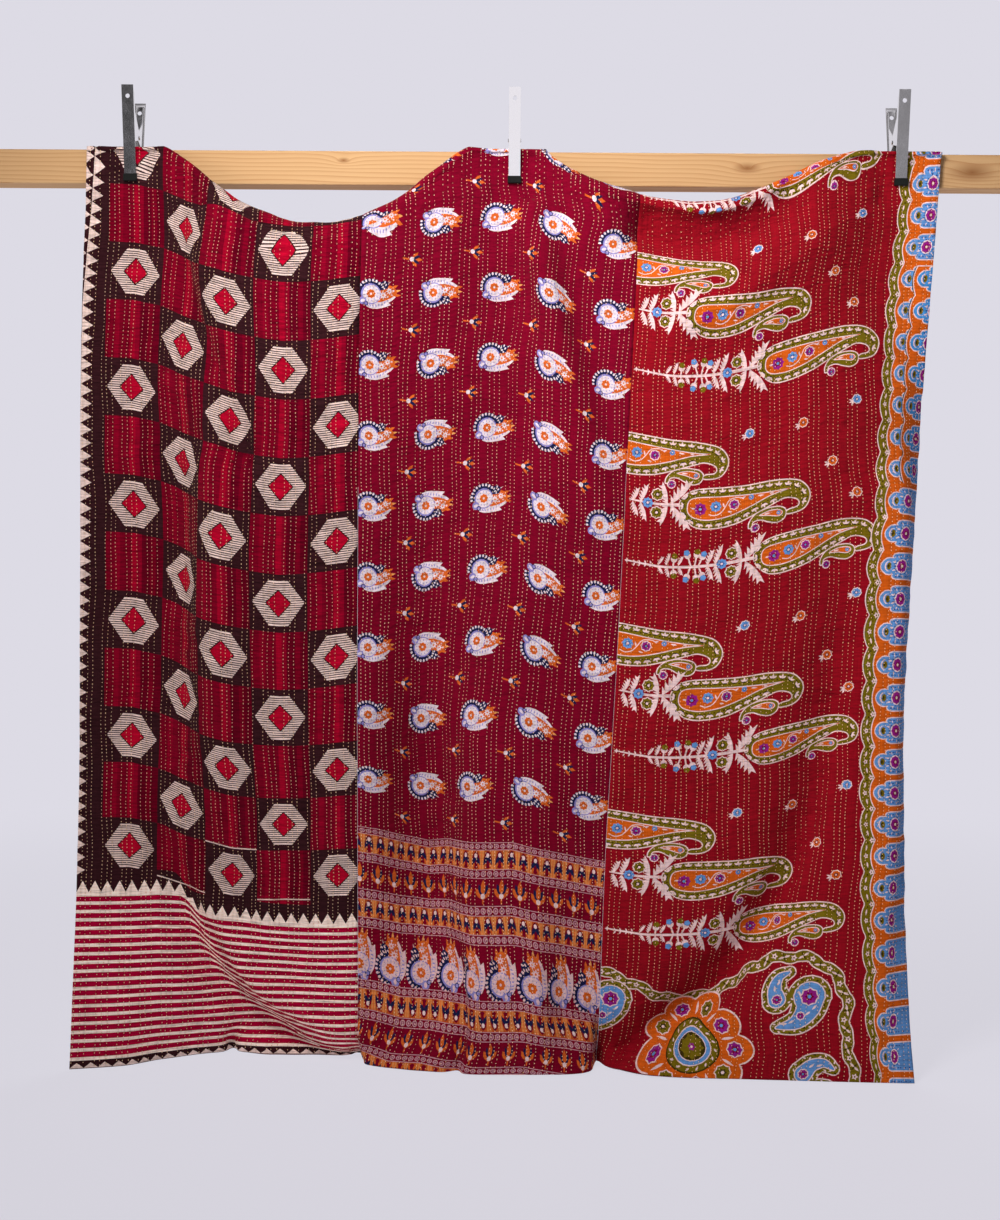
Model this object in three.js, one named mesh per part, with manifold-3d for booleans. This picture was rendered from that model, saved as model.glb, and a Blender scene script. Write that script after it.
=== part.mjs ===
// A kantha quilt hung on a pine rail by three spring clamps.
// Units are millimetres. +X runs along the rail to the right as seen from the front, +Y to the back, +Z up.
// The origin is the middle of the rail's underside.

import * as THREE from 'three';
import { mergeVertices } from 'three/addons/utils/BufferGeometryUtils.js';
import Module from 'manifold-3d';

const wasm = await Module();
wasm.setup();

// Driving dimensions

const RAIL = { length: 1960, depth: 38, height: 64 };
const RAIL_FRONT = -RAIL.depth / 2;

const CLOTH = {
  thickness: 2.4,
  drop: 1750, // flat length from the top fold to the hem
  flap: 450, // flat length turned down behind the front layer
  seamGap: 0.9, // between neighbouring panels
};

const PANELS = [
  { name: 'quilt_panel_left', width: 552, color: 0x7a1020 },
  { name: 'quilt_panel_middle', width: 560, color: 0x6a0d24 },
  { name: 'quilt_panel_right', width: 585, color: 0x8c1420 },
];
const SEAM_LEFT = PANELS[0].width;
const SEAM_RIGHT = SEAM_LEFT + PANELS[1].width;
const WIDTH = SEAM_RIGHT + PANELS[2].width;

// The top fold: a small loop where a clamp pins it, and a wide roll where it sags
const FOLD = {
  top: RAIL.height + 1.5, // height of the fold at the clamps
  loopDepth: 13.2, // how far ahead of the rail the front layer starts at a clamp
  flapDepth: 3.4, // how far ahead of the rail the flap hangs
  loopFade: 9, // how soon the loop closes below the fold
  level: 70, // distance down the cloth that gives the roll its depth
  settle: 0.025, // share of the front layer over which it settles from the roll to its own height
};

// The flap hangs in shallow waves in the room behind the front layer
const FLAP_WAVE = { length: 176, share: 0.42, spare: 12, ramp: 120 };

// Where a clamp presses both layers flat against the rail
const PINCH = { down: 66, depth: 6.4, acrossFlat: 34, acrossFall: 26, downFlat: 28, downFall: 30, column: 17 };

// How the vertical runs down the cloth: nearly plumb, then leaning out towards the hem
const LEAN = { start: 1100, upperRate: 0.99, lowerRate: 0.923, tuck: 8 };

// A sag's dip fades on the way to the hem: one share of it evenly, the rest late
const DIP = { evenShare: 0.5, latePower: 5 };

// Sags of the fold between the clamps, by distance across the flat quilt
const SAGS = [
  { from: 150, lowest: 465, to: 764, drop: 148, dip: 60, fromPower: 1.15, toPower: 1.15 },
  { from: 920, lowest: 1230, to: 1569, drop: 100, dip: 55, fromPower: 0.75, toPower: 2 },
];

// Where the quilt's edges and seams hang, by distance down the cloth
const HANG = [
  { down: 0, leftEdge: -802, seamLeft: -280, seamRight: 236, rightEdge: 801 },
  { down: 450, leftEdge: -810, seamLeft: -286, seamRight: 215, rightEdge: 767 },
  { down: 900, leftEdge: -807, seamLeft: -285, seamRight: 194, rightEdge: 739 },
  { down: 1350, leftEdge: -797, seamLeft: -280, seamRight: 171, rightEdge: 719 },
  { down: 1750, leftEdge: -779, seamLeft: -275, seamRight: 157, rightEdge: 700 },
];

// Named places across the flat quilt
const PLACES = {
  leftEdge: 0,
  leftClamp: 86,
  stepBack: 160,
  stepFront: 298,
  leftBelly: 400,
  seamLeft: SEAM_LEFT,
  columnTwo: 711,
  centreClamp: 855,
  columnFour: 955,
  hollow: 1035,
  seamRight: SEAM_RIGHT,
  rightBelly: 1242,
  shoulder: 1442,
  rightClamp: 1623,
  rightEdge: WIDTH,
};

// Sections across the hanging front layer: its distance ahead of the rail at each named place
const SECTIONS = [
  { down: 64, leftEdge: 8, leftClamp: 6.4, stepBack: 13, stepFront: 62, leftBelly: 72, seamLeft: 66,
    columnTwo: 30, centreClamp: 6.4, columnFour: 36, hollow: 50, seamRight: 56, rightBelly: 62,
    shoulder: 36, rightClamp: 6.4, rightEdge: 9 },
  { down: 200, leftEdge: 11, leftClamp: 9, stepBack: 16, stepFront: 84, leftBelly: 84, seamLeft: 70,
    columnTwo: 38, centreClamp: 11, columnFour: 48, hollow: 44, seamRight: 50, rightBelly: 66,
    shoulder: 44, rightClamp: 10, rightEdge: 14 },
  { down: 450, leftEdge: 15, leftClamp: 15, stepBack: 23, stepFront: 80, leftBelly: 76, seamLeft: 64,
    columnTwo: 40, centreClamp: 24, columnFour: 50, hollow: 56, seamRight: 62, rightBelly: 72,
    shoulder: 64, rightClamp: 42, rightEdge: 12 },
  { down: 750, leftEdge: 18, leftClamp: 14, stepBack: 10, stepFront: 94, leftBelly: 76, seamLeft: 66,
    columnTwo: 28, centreClamp: 48, columnFour: 64, hollow: 66, seamRight: 70, rightBelly: 78,
    shoulder: 82, rightClamp: 76, rightEdge: 16 },
  { down: 1100, leftEdge: 32, leftClamp: 25, stepBack: 20, stepFront: 86, leftBelly: 78, seamLeft: 78,
    columnTwo: 14, centreClamp: 80, columnFour: 92, hollow: 88, seamRight: 84, rightBelly: 88,
    shoulder: 92, rightClamp: 98, rightEdge: 36 },
  { down: 1420, leftEdge: 84, leftClamp: 76, stepBack: 64, stepFront: 60, leftBelly: 88, seamLeft: 96,
    columnTwo: 40, centreClamp: 126, columnFour: 134, hollow: 116, seamRight: 104, rightBelly: 112,
    shoulder: 112, rightClamp: 142, rightEdge: 96 },
  { down: 1630, leftEdge: 148, leftClamp: 130, stepBack: 104, stepFront: 66, leftBelly: 76,
    seamLeft: 108, columnTwo: 118, centreClamp: 180, columnFour: 190, hollow: 150, seamRight: 138,
    rightBelly: 140, shoulder: 184, rightClamp: 206, rightEdge: 180 },
  { down: 1750, leftEdge: 186, leftClamp: 160, stepBack: 112, stepFront: 52, leftBelly: 92,
    seamLeft: 131, columnTwo: 180, centreClamp: 206, columnFour: 204, hollow: 202, seamRight: 205,
    rightBelly: 214, shoulder: 228, rightClamp: 242, rightEdge: 244 },
];

// Creases and crests that run across the sections. Each follows a curve from start by two handles to end,
// given as [across, down], with its half width on either side and its depth towards the rail at both ends.
const CREASES = [
  { start: [160, 95], lead: [190, 230], trail: [260, 360], end: [335, 500], left: 32, right: 26,
    fromDepth: 6, toDepth: 32 },
  { start: [872, 70], lead: [900, 220], trail: [985, 380], end: [1062, 640], left: 34, right: 26,
    fromDepth: -24, toDepth: -10 },
  { start: [930, 70], lead: [960, 220], trail: [1040, 380], end: [1100, 620], left: 26, right: 32,
    fromDepth: 18, toDepth: 8 },
  { start: [180, 1330], lead: [215, 1470], trail: [285, 1715], end: [545, 1745], left: 56, right: 36,
    fromDepth: 12, toDepth: 44 },
  { start: [214, 1318], lead: [262, 1446], trail: [345, 1660], end: [556, 1694], left: 34, right: 40,
    fromDepth: -8, toDepth: -22 },
  { start: [297, 1690], lead: [298, 1710], trail: [299, 1730], end: [300, 1760], left: 18, right: 18,
    fromDepth: 8, toDepth: 30 },
  { start: [SEAM_LEFT, 1650], lead: [552, 1680], trail: [550, 1720], end: [548, 1760], left: 22,
    right: 18, fromDepth: 6, toDepth: 34 },
  { start: [790, 1560], lead: [791, 1620], trail: [792, 1690], end: [793, 1760], left: 22, right: 16,
    fromDepth: 4, toDepth: 22 },
  { start: [1106, 1640], lead: [1108, 1680], trail: [1110, 1720], end: [1110, 1760], left: 20,
    right: 22, fromDepth: 8, toDepth: 46 },
  { start: [1516, 740], lead: [1528, 1260], trail: [1440, 1590], end: [1130, 1745], left: 84, right: 66,
    fromDepth: 16, toDepth: 54 },
  { start: [1125, 115], lead: [1190, 145], trail: [1300, 140], end: [1400, 85], left: 46, right: 42,
    fromDepth: 44, toDepth: 26 },
  { start: [1600, 80], lead: [1510, 150], trail: [1400, 230], end: [1210, 285], left: 36, right: 40,
    fromDepth: -4, toDepth: -16 },
];

// How finely the hung shape is worked out, and how finely the solid cloth is divided
const GRID = { across: 340, down: 146, crease: 80, steepest: 0.15, hair: 1e-6 };
const ROWS = { flap: 6, roll: 5, front: 30, frontPower: 1.35 };
const COLUMNS = 18;
const MERGE_WITHIN = 1e-4;

// Spring clamps by place along the rail. Heights are from the rail's underside.
const CLAMP = {
  places: { left: 'leftClamp', centre: 'centreClamp', right: 'rightClamp' },
  width: 22,
  sheet: 1.8,
  pivot: 90,
  handleTop: 173,
  handleSpread: 110,
  holeRadius: 4,
  holeBelowTop: 20,
  wall: { inset: 0.2, foot: 74, top: 166, lip: 10, neck: 128, footLip: 3, above: 6, below: 1, step: 8 },
  ear: 3.5, // side wall left round the pin
  pinRadius: 2.5,
  head: { margin: 1.6, rise: 1.4, crown: 0.75, edge: 0.4 },
  runningGap: 0.3,
  bootWidth: 25,
  bootDepth: 7,
  bootTop: 15,
  bootFoot: 2,
  bootFloor: 3, // from the boot's foot to the end of the arm in it
  straight: 4, // straight stretch of the arm above its boot
  seat: 0.4, // gap between a boot and what it presses on
  wire: 2.2,
  coilRadius: 6,
  coilTurns: 3.5,
  coilLength: 10.5,
  coilSteps: 9, // straight stretches in a turn
  legTop: 132,
  legGap: 0.7,
  legSteps: 8,
  sides: { hole: 14, pin: 10, wire: 6 },
};

const STEEL = { color: 0xc9ccd0, roughness: 0.14, metalness: 1 };
const SPRING_STEEL = { color: 0x8f9296, roughness: 0.3, metalness: 1 };
const RUBBER = { color: 0x1b1b1d, roughness: 0.7, metalness: 0 };
const PINE = { color: 0xdcb581, roughness: 0.6, metalness: 0 };
const COTTON = { roughness: 0.95, metalness: 0 };

// Curves through tables

function smoothCurve(places, values) {
  const last = places.length - 1;
  const steps = places.slice(1).map((p, i) => p - places[i]);
  const rises = steps.map((h, i) => (values[i + 1] - values[i]) / h);
  const slopes = places.map((_, i) => {
    if (i === 0) return rises[0];
    if (i === last) return rises[last - 1];
    const [before, after] = [rises[i - 1], rises[i]];
    if (before * after <= 0) return 0;
    const [a, b] = [2 * steps[i] + steps[i - 1], steps[i] + 2 * steps[i - 1]];
    return (a + b) / (a / before + b / after);
  });
  return (x) => {
    let i = 0;
    while (i < last - 1 && x > places[i + 1]) i += 1;
    const t = Math.min(Math.max((x - places[i]) / steps[i], 0), 1);
    const bow = t * t * (3 - 2 * t);
    return values[i] + (values[i + 1] - values[i]) * bow
      + steps[i] * t * (1 - t) * (slopes[i] * (1 - t) - slopes[i + 1] * t);
  };
}

function columnCurves(rows, names) {
  const downs = rows.map((row) => row.down);
  return names.map((name) => smoothCurve(downs, rows.map((row) => row[name])));
}

// The way the quilt hangs

const quarterWave = (t) => Math.sin((Math.PI / 2) * Math.min(Math.max(t, 0), 1));

function sagAt(across, size) {
  for (const sag of SAGS) {
    if (across <= sag.from || across >= sag.to) continue;
    if (across <= sag.lowest) {
      return sag[size] * quarterWave((across - sag.from) / (sag.lowest - sag.from)) ** sag.fromPower;
    }
    return sag[size] * quarterWave((sag.to - across) / (sag.to - sag.lowest)) ** sag.toPower;
  }
  return 0;
}

function dipFade(down) {
  const share = down / CLOTH.drop;
  return 1 - DIP.evenShare * share - (1 - DIP.evenShare) * share ** DIP.latePower;
}

function heightAt(across, down) {
  const leaning = Math.max(down - LEAN.start, 0);
  const plumb = RAIL.height - LEAN.upperRate * (down - LEAN.tuck) + (LEAN.upperRate - LEAN.lowerRate) * leaning;
  return plumb - sagAt(across, 'dip') * dipFade(down);
}

const creasePaths = CREASES.map((crease) => {
  const corners = [crease.start, crease.lead, crease.trail, crease.end];
  const curve = new THREE.CubicBezierCurve(...corners.map(([x, y]) => new THREE.Vector2(x, y)));
  return { ...crease, points: curve.getPoints(GRID.crease) };
});

function creaseDepth(across, down) {
  let total = 0;
  for (const { points, left, right, fromDepth, toDepth } of creasePaths) {
    let nearest = 0;
    let best = Infinity;
    points.forEach((p, i) => {
      const gap = (p.x - across) ** 2 + (p.y - down) ** 2;
      if (gap < best) [best, nearest] = [gap, i];
    });
    const [a, b] = [points[Math.max(nearest - 1, 0)], points[Math.min(nearest + 1, GRID.crease)]];
    const side = (b.x - a.x) * (down - a.y) - (b.y - a.y) * (across - a.x);
    const half = side > 0 ? left : right;
    const along = nearest / GRID.crease;
    total += (fromDepth + (toDepth - fromDepth) * along) * Math.exp(-best / half ** 2);
  }
  return total;
}

const clampsAcross = Object.values(CLAMP.places).map((place) => PLACES[place]);

function plateau(distance, flat, fall) {
  const t = Math.min(Math.max((Math.abs(distance) - flat) / fall, 0), 1);
  return 1 - t * t * (3 - 2 * t);
}

function pinchedDepth(free, across, down) {
  const level = plateau(down - PINCH.down, PINCH.downFlat, PINCH.downFall);
  const hold = Math.max(...clampsAcross.map((at) => plateau(across - at, PINCH.acrossFlat, PINCH.acrossFall)));
  return free + (PINCH.depth - free) * level * hold;
}

// A grid of the hung front layer: distance ahead of the rail, and distance along it, at even steps of the
// flat cloth
const stepAcross = WIDTH / GRID.across;
const stepDown = CLOTH.drop / GRID.down;

function hangFrontLayer() {
  const placeNames = Object.keys(PLACES);
  const placeCurves = columnCurves(SECTIONS, placeNames);
  const edgeNames = ['leftEdge', 'seamLeft', 'seamRight', 'rightEdge'];
  const edgeCurves = columnCurves(HANG, edgeNames);
  const edgeCells = edgeNames.map((name) => Math.round(PLACES[name] / stepAcross));
  const depths = [];
  const lengths = [];
  for (let j = 0; j <= GRID.down; j += 1) {
    const down = j * stepDown;
    const section = smoothCurve(Object.values(PLACES), placeCurves.map((curve) => curve(down)));
    const depth = Array.from({ length: GRID.across + 1 }, (_, i) => {
      const across = i * stepAcross;
      return pinchedDepth(section(across) - creaseDepth(across, down), across, down);
    });
    const length = [0];
    for (let i = 1; i <= GRID.across; i += 1) {
      const slope = (depth[i] - depth[i - 1]) / stepAcross;
      length.push(length[i - 1] + stepAcross * Math.sqrt(Math.max(1 - slope * slope, GRID.steepest)));
    }
    const targets = edgeCurves.map((curve) => curve(down));
    const along = length.map((run, i) => {
      const panel = i <= edgeCells[1] ? 0 : i <= edgeCells[2] ? 1 : 2;
      const [runA, runB] = [length[edgeCells[panel]], length[edgeCells[panel + 1]]];
      return targets[panel] + (targets[panel + 1] - targets[panel]) * ((run - runA) / (runB - runA));
    });
    depths.push(depth);
    lengths.push(along);
  }
  return { depths, lengths };
}

const hung = hangFrontLayer();

function sample(grid, across, down) {
  const fi = Math.min(Math.max(across / stepAcross, 0), GRID.across - GRID.hair);
  const fj = Math.min(Math.max(down / stepDown, 0), GRID.down - GRID.hair);
  const [i, j] = [Math.floor(fi), Math.floor(fj)];
  const [s, t] = [fi - i, fj - j];
  const near = grid[j][i] * (1 - s) + grid[j][i + 1] * s;
  const far = grid[j + 1][i] * (1 - s) + grid[j + 1][i + 1] * s;
  return near * (1 - t) + far * t;
}

// The fold over one place across the quilt: its roll, and the cloth position where the front layer leaves it
function foldAt(across) {
  const front = Math.max(sample(hung.depths, across, FOLD.level), FOLD.loopDepth);
  const radius = (front - FOLD.flapDepth) / 2;
  const centre = FOLD.top - sagAt(across, 'drop') - radius;
  const start = LEAN.tuck + (RAIL.height - centre) / LEAN.upperRate - sagAt(across, 'dip');
  return { front, radius, centre, start };
}

function frontPoint(across, share) {
  const fold = foldAt(across);
  const down = fold.start + (CLOTH.drop - fold.start) * share;
  const loop = fold.front - sample(hung.depths, across, fold.start);
  const depth = sample(hung.depths, across, down) + loop * Math.exp((fold.start - down) / FOLD.loopFade);
  const height = fold.centre + (heightAt(across, down) - fold.centre) * Math.min(share / FOLD.settle, 1);
  return new THREE.Vector3(sample(hung.lengths, across, down), RAIL_FRONT - depth, height);
}

function rollPoint(across, share) {
  const fold = foldAt(across);
  const turn = Math.PI * share;
  const depth = FOLD.flapDepth + fold.radius * (1 - Math.cos(turn));
  const height = fold.centre + fold.radius * Math.sin(turn);
  return new THREE.Vector3(sample(hung.lengths, across, fold.start), RAIL_FRONT - depth, height);
}

function flapPoint(across, share) {
  const fold = foldAt(across);
  const length = CLOTH.flap + fold.start - Math.PI * fold.radius;
  const hangs = length * (1 - share);
  const down = Math.min(fold.start + hangs, CLOTH.drop);
  const room = Math.max(sample(hung.depths, across, down) - FLAP_WAVE.spare, 0);
  const swell = (1 - Math.cos((2 * Math.PI * across) / FLAP_WAVE.length)) / 2;
  const depth = FOLD.flapDepth + FLAP_WAVE.share * room * swell * Math.min(hangs / FLAP_WAVE.ramp, 1);
  return new THREE.Vector3(sample(hung.lengths, across, down), RAIL_FRONT - depth, fold.centre - hangs);
}

// Rows of the solid cloth from the flap's edge, over the fold, to the hem
function sheetRows() {
  const rows = [];
  for (let i = 0; i < ROWS.flap; i += 1) rows.push((u) => flapPoint(u, i / ROWS.flap));
  for (let i = 0; i < ROWS.roll; i += 1) rows.push((u) => rollPoint(u, i / ROWS.roll));
  for (let i = 0; i <= ROWS.front; i += 1) rows.push((u) => frontPoint(u, (i / ROWS.front) ** ROWS.frontPower));
  return rows;
}

function panelColumns(start, width) {
  const inset = CLOTH.seamGap / 2;
  const from = start > 0 ? start + inset : start;
  const to = start + width < WIDTH ? start + width - inset : start + width;
  const columns = Array.from({ length: COLUMNS + 1 }, (_, i) => from + ((to - from) * i) / COLUMNS);
  for (const at of clampsAcross.filter((place) => place > from && place < to)) {
    const cell = columns.findIndex((column) => column > at);
    [columns[cell - 1], columns[cell]] = [at - PINCH.column, at + PINCH.column];
  }
  return columns;
}

function facingOf(row, across, rowAbove, rowBelow) {
  const reach = 8;
  const side = row(Math.min(across + reach, WIDTH)).sub(row(Math.max(across - reach, 0)));
  return side.cross(rowBelow(across).sub(rowAbove(across))).normalize();
}

function sheetGeometry(columns) {
  const rows = sheetRows();
  const faces = [1, -1].map((side) => rows.map((row, j) => columns.map((across) => {
    const facing = facingOf(row, across, rows[Math.max(j - 1, 0)], rows[Math.min(j + 1, rows.length - 1)]);
    return row(across).addScaledVector(facing, (-side * CLOTH.thickness) / 2);
  })));
  const points = faces.flat(2);
  const wide = columns.length;
  const deep = rows.length;
  const at = (side, j, i) => side * wide * deep + j * wide + i;
  const index = [];
  const quad = (a, b, c, d) => index.push(a, b, c, a, c, d);
  for (let j = 0; j < deep - 1; j += 1) {
    for (let i = 0; i < wide - 1; i += 1) {
      quad(at(0, j, i), at(0, j + 1, i), at(0, j + 1, i + 1), at(0, j, i + 1));
      quad(at(1, j, i), at(1, j, i + 1), at(1, j + 1, i + 1), at(1, j + 1, i));
    }
    quad(at(0, j, 0), at(1, j, 0), at(1, j + 1, 0), at(0, j + 1, 0));
    quad(at(0, j, wide - 1), at(0, j + 1, wide - 1), at(1, j + 1, wide - 1), at(1, j, wide - 1));
  }
  for (let i = 0; i < wide - 1; i += 1) {
    quad(at(0, 0, i), at(0, 0, i + 1), at(1, 0, i + 1), at(1, 0, i));
    quad(at(0, deep - 1, i), at(1, deep - 1, i), at(1, deep - 1, i + 1), at(0, deep - 1, i + 1));
  }
  const geometry = new THREE.BufferGeometry().setFromPoints(points);
  geometry.setIndex(index);
  return geometry;
}

// Solids joined and cut

function toSolid(geometry) {
  const plain = geometry.clone();
  const extras = Object.keys(plain.attributes).filter((name) => name !== 'position');
  extras.forEach((name) => plain.deleteAttribute(name));
  const merged = mergeVertices(plain, MERGE_WITHIN);
  return new wasm.Manifold(new wasm.Mesh({
    numProp: 3,
    vertProperties: new Float32Array(merged.attributes.position.array),
    triVerts: new Uint32Array(merged.index.array),
  }));
}

function toGeometry(solid) {
  const mesh = solid.getMesh();
  const geometry = new THREE.BufferGeometry();
  geometry.setAttribute('position', new THREE.BufferAttribute(new Float32Array(mesh.vertProperties), 3));
  geometry.setIndex(new THREE.BufferAttribute(new Uint32Array(mesh.triVerts), 1));
  return geometry;
}

// A side outline in the plane of Y and Z, made a plate across X
function sidePlate(outline, fromX, toX) {
  const shape = new THREE.Shape(outline.map(([y, z]) => new THREE.Vector2(y, z)));
  const plate = new THREE.ExtrudeGeometry(shape, { depth: toX - fromX, bevelEnabled: false });
  plate.applyMatrix4(new THREE.Matrix4().set(0, 0, 1, fromX, 1, 0, 0, 0, 0, 1, 0, 0, 0, 0, 0, 1));
  return plate;
}

// The spring clamp

const CLOTH_FACE = RAIL_FRONT - PINCH.depth - CLOTH.thickness / 2;
const CLAMP_MIDDLE = (RAIL.depth / 2 + CLOTH_FACE) / 2;
const HALF_GRIP = RAIL.depth / 2 - CLAMP_MIDDLE;

// Half of the clamp's side view: the middle of an arm's sheet, as [distance from the clamp's middle, height].
// The arm stands upright in its boot and leans straight out from there to the end of the handle.
function armLine() {
  const jaw = HALF_GRIP + CLAMP.seat + CLAMP.bootDepth / 2;
  return [
    [jaw, CLAMP.bootFoot + CLAMP.bootFloor],
    [jaw, CLAMP.bootTop + CLAMP.straight],
    [CLAMP.handleSpread / 2, CLAMP.handleTop],
  ];
}

function armAt(height) {
  const [low, high] = armLine().slice(-2);
  return low[0] + ((high[0] - low[0]) * (height - low[1])) / (high[1] - low[1]);
}

function offsetLine(line, by) {
  return line.map((point, i) => {
    const [a, b] = [line[Math.max(i - 1, 0)], line[Math.min(i + 1, line.length - 1)]];
    const run = Math.hypot(b[0] - a[0], b[1] - a[1]);
    return [point[0] + (by * (b[1] - a[1])) / run, point[1] - (by * (b[0] - a[0])) / run];
  });
}

// The edges of an arm's side walls, from above the rail, round the pivot, to the handle
function wallOutline() {
  const { pivot, wall } = CLAMP;
  const ear = CLAMP.pinRadius + CLAMP.ear;
  const slant = ear * Math.SQRT1_2;
  return [
    [armAt(wall.foot) + wall.inset, wall.foot],
    [armAt(wall.top) + wall.inset, wall.top],
    [armAt(wall.top) - wall.lip, wall.top - wall.lip / 2],
    [armAt(wall.neck) - wall.lip, wall.neck],
    [slant, pivot + ear + wall.above],
    [-slant, pivot + slant],
    [-ear, pivot],
    [-slant, pivot - slant],
    [wall.step, pivot - ear - wall.below],
    [armAt(wall.foot) - wall.footLip, wall.foot],
  ];
}

function armGeometry(wallAt) {
  const line = armLine();
  const half = CLAMP.sheet / 2;
  const web = [...offsetLine(line, half), ...offsetLine(line, -half).reverse()];
  let arm = toSolid(sidePlate(web, -CLAMP.width / 2, CLAMP.width / 2));
  for (const side of [-1, 1]) {
    const [near, far] = [side * wallAt - half, side * wallAt + half];
    arm = arm.add(toSolid(sidePlate(wallOutline(), near, far)));
  }
  const bore = CLAMP.pinRadius + CLAMP.runningGap;
  const pinHole = new THREE.CylinderGeometry(bore, bore, 2 * CLAMP.width, CLAMP.sides.hole);
  pinHole.rotateZ(Math.PI / 2);
  pinHole.translate(0, 0, CLAMP.pivot);
  const { holeRadius, handleSpread } = CLAMP;
  const hangHole = new THREE.CylinderGeometry(holeRadius, holeRadius, handleSpread, CLAMP.sides.hole);
  hangHole.translate(0, handleSpread / 2, CLAMP.handleTop - CLAMP.holeBelowTop);
  return toGeometry(arm.subtract(toSolid(pinHole)).subtract(toSolid(hangHole)));
}

function pinGeometry() {
  const shank = CLAMP.width / 2 + CLAMP.runningGap;
  const head = CLAMP.pinRadius + CLAMP.head.margin;
  const crown = head * CLAMP.head.crown;
  const end = shank + CLAMP.head.rise;
  const edge = shank + CLAMP.head.rise * CLAMP.head.edge;
  const half = [[CLAMP.pinRadius, shank], [head, shank], [head, edge], [crown, end], [0, end]];
  const otherHalf = half.map(([r, x]) => [r, -x]).reverse();
  const profile = [...otherHalf, ...half].map(([r, x]) => new THREE.Vector2(r, x));
  const pin = new THREE.LatheGeometry(profile, CLAMP.sides.pin);
  pin.rotateZ(-Math.PI / 2);
  pin.translate(0, 0, CLAMP.pivot);
  return pin;
}

// A wire leg down from each handle into a coil round the pin
function springGeometry() {
  const { legTop, wire } = CLAMP;
  const legOut = armAt(legTop) - CLAMP.sheet / 2 - wire / 2 - CLAMP.legGap;
  const half = CLAMP.coilLength / 2;
  const points = [new THREE.Vector3(-half, -legOut, legTop)];
  const steps = Math.round(CLAMP.coilTurns * CLAMP.coilSteps);
  for (let i = 0; i <= steps; i += 1) {
    const turn = (2 * Math.PI * CLAMP.coilTurns * i) / steps;
    points.push(new THREE.Vector3(-half + (CLAMP.coilLength * i) / steps, -CLAMP.coilRadius * Math.cos(turn),
      CLAMP.pivot - CLAMP.coilRadius * Math.sin(turn)));
  }
  points.push(new THREE.Vector3(half, legOut, legTop));
  const { sides } = CLAMP;
  const round = new THREE.EllipseCurve(0, 0, wire / 2, wire / 2).getPoints(sides.wire).slice(0, sides.wire);
  const extrudePath = new THREE.CatmullRomCurve3(points, false, 'centripetal');
  const settings = { steps: steps + CLAMP.legSteps, extrudePath, bevelEnabled: false };
  return new THREE.ExtrudeGeometry(new THREE.Shape(round), settings);
}

// A soft boot drawn over the end of an arm, which sits in its pocket
function bootGeometry() {
  const jaw = armLine()[0][0];
  const gap = CLAMP.runningGap;
  const wall = (width, depth, foot, top) => {
    const block = new THREE.BoxGeometry(width, depth, top - foot);
    block.translate(0, jaw, (top + foot) / 2);
    return block;
  };
  const outer = wall(CLAMP.bootWidth, CLAMP.bootDepth, CLAMP.bootFoot, CLAMP.bootTop);
  const pocketFoot = armLine()[0][1] - gap;
  const pocketTop = CLAMP.bootTop + CLAMP.bootDepth;
  const pocket = wall(CLAMP.width + 2 * gap, CLAMP.sheet + 2 * gap, pocketFoot, pocketTop);
  return toGeometry(toSolid(outer).subtract(toSolid(pocket)));
}

function named(name, geometry, finish) {
  const mesh = new THREE.Mesh(geometry, new THREE.MeshStandardMaterial(finish));
  mesh.name = name;
  return mesh;
}

function buildClamp(place, across) {
  const clamp = new THREE.Group();
  clamp.position.set(sample(hung.lengths, across, PINCH.down), CLAMP_MIDDLE, 0);
  const outerWall = (CLAMP.width - CLAMP.sheet) / 2;
  const innerWall = outerWall - CLAMP.sheet - CLAMP.runningGap;
  const front = new THREE.Group();
  front.rotation.z = Math.PI;
  front.add(named(`clamp_${place}_front_arm`, armGeometry(outerWall), STEEL));
  front.add(named(`clamp_${place}_front_boot`, bootGeometry(), RUBBER));
  const back = new THREE.Group();
  back.add(named(`clamp_${place}_back_arm`, armGeometry(innerWall), STEEL));
  back.add(named(`clamp_${place}_back_boot`, bootGeometry(), RUBBER));
  clamp.add(front, back);
  clamp.add(named(`clamp_${place}_pin`, pinGeometry(), STEEL));
  clamp.add(named(`clamp_${place}_spring`, springGeometry(), SPRING_STEEL));
  return clamp;
}

// The whole object

function buildRail() {
  const board = new THREE.BoxGeometry(RAIL.length, RAIL.depth, RAIL.height);
  board.translate(0, 0, RAIL.height / 2);
  return named('rail', board, PINE);
}

function buildQuilt() {
  const quilt = new THREE.Group();
  let start = 0;
  for (const { name, width, color } of PANELS) {
    const cloth = sheetGeometry(panelColumns(start, width));
    quilt.add(named(name, cloth, { color, ...COTTON }));
    start += width;
  }
  return quilt;
}

const hanging = new THREE.Group();
hanging.add(buildRail(), buildQuilt());
Object.entries(CLAMP.places).forEach(([side, place]) => hanging.add(buildClamp(side, PLACES[place])));

export default hanging;
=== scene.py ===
# %% [markdown]
# # A kantha quilt hung on a pine rail
# The quilt is three lengths of worn printed cotton, sewn side by side and quilted with rows of running
# stitch. It is turned over a rail and held by three spring clamps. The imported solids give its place, its
# size and the way it hangs. This lesson lays a finer printed sheet on those folds, sews it, and finishes
# wood and steel.

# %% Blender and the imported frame
import math

import bmesh
import bpy
import numpy as np
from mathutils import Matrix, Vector
from mathutils.geometry import delaunay_2d_cdt


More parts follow.
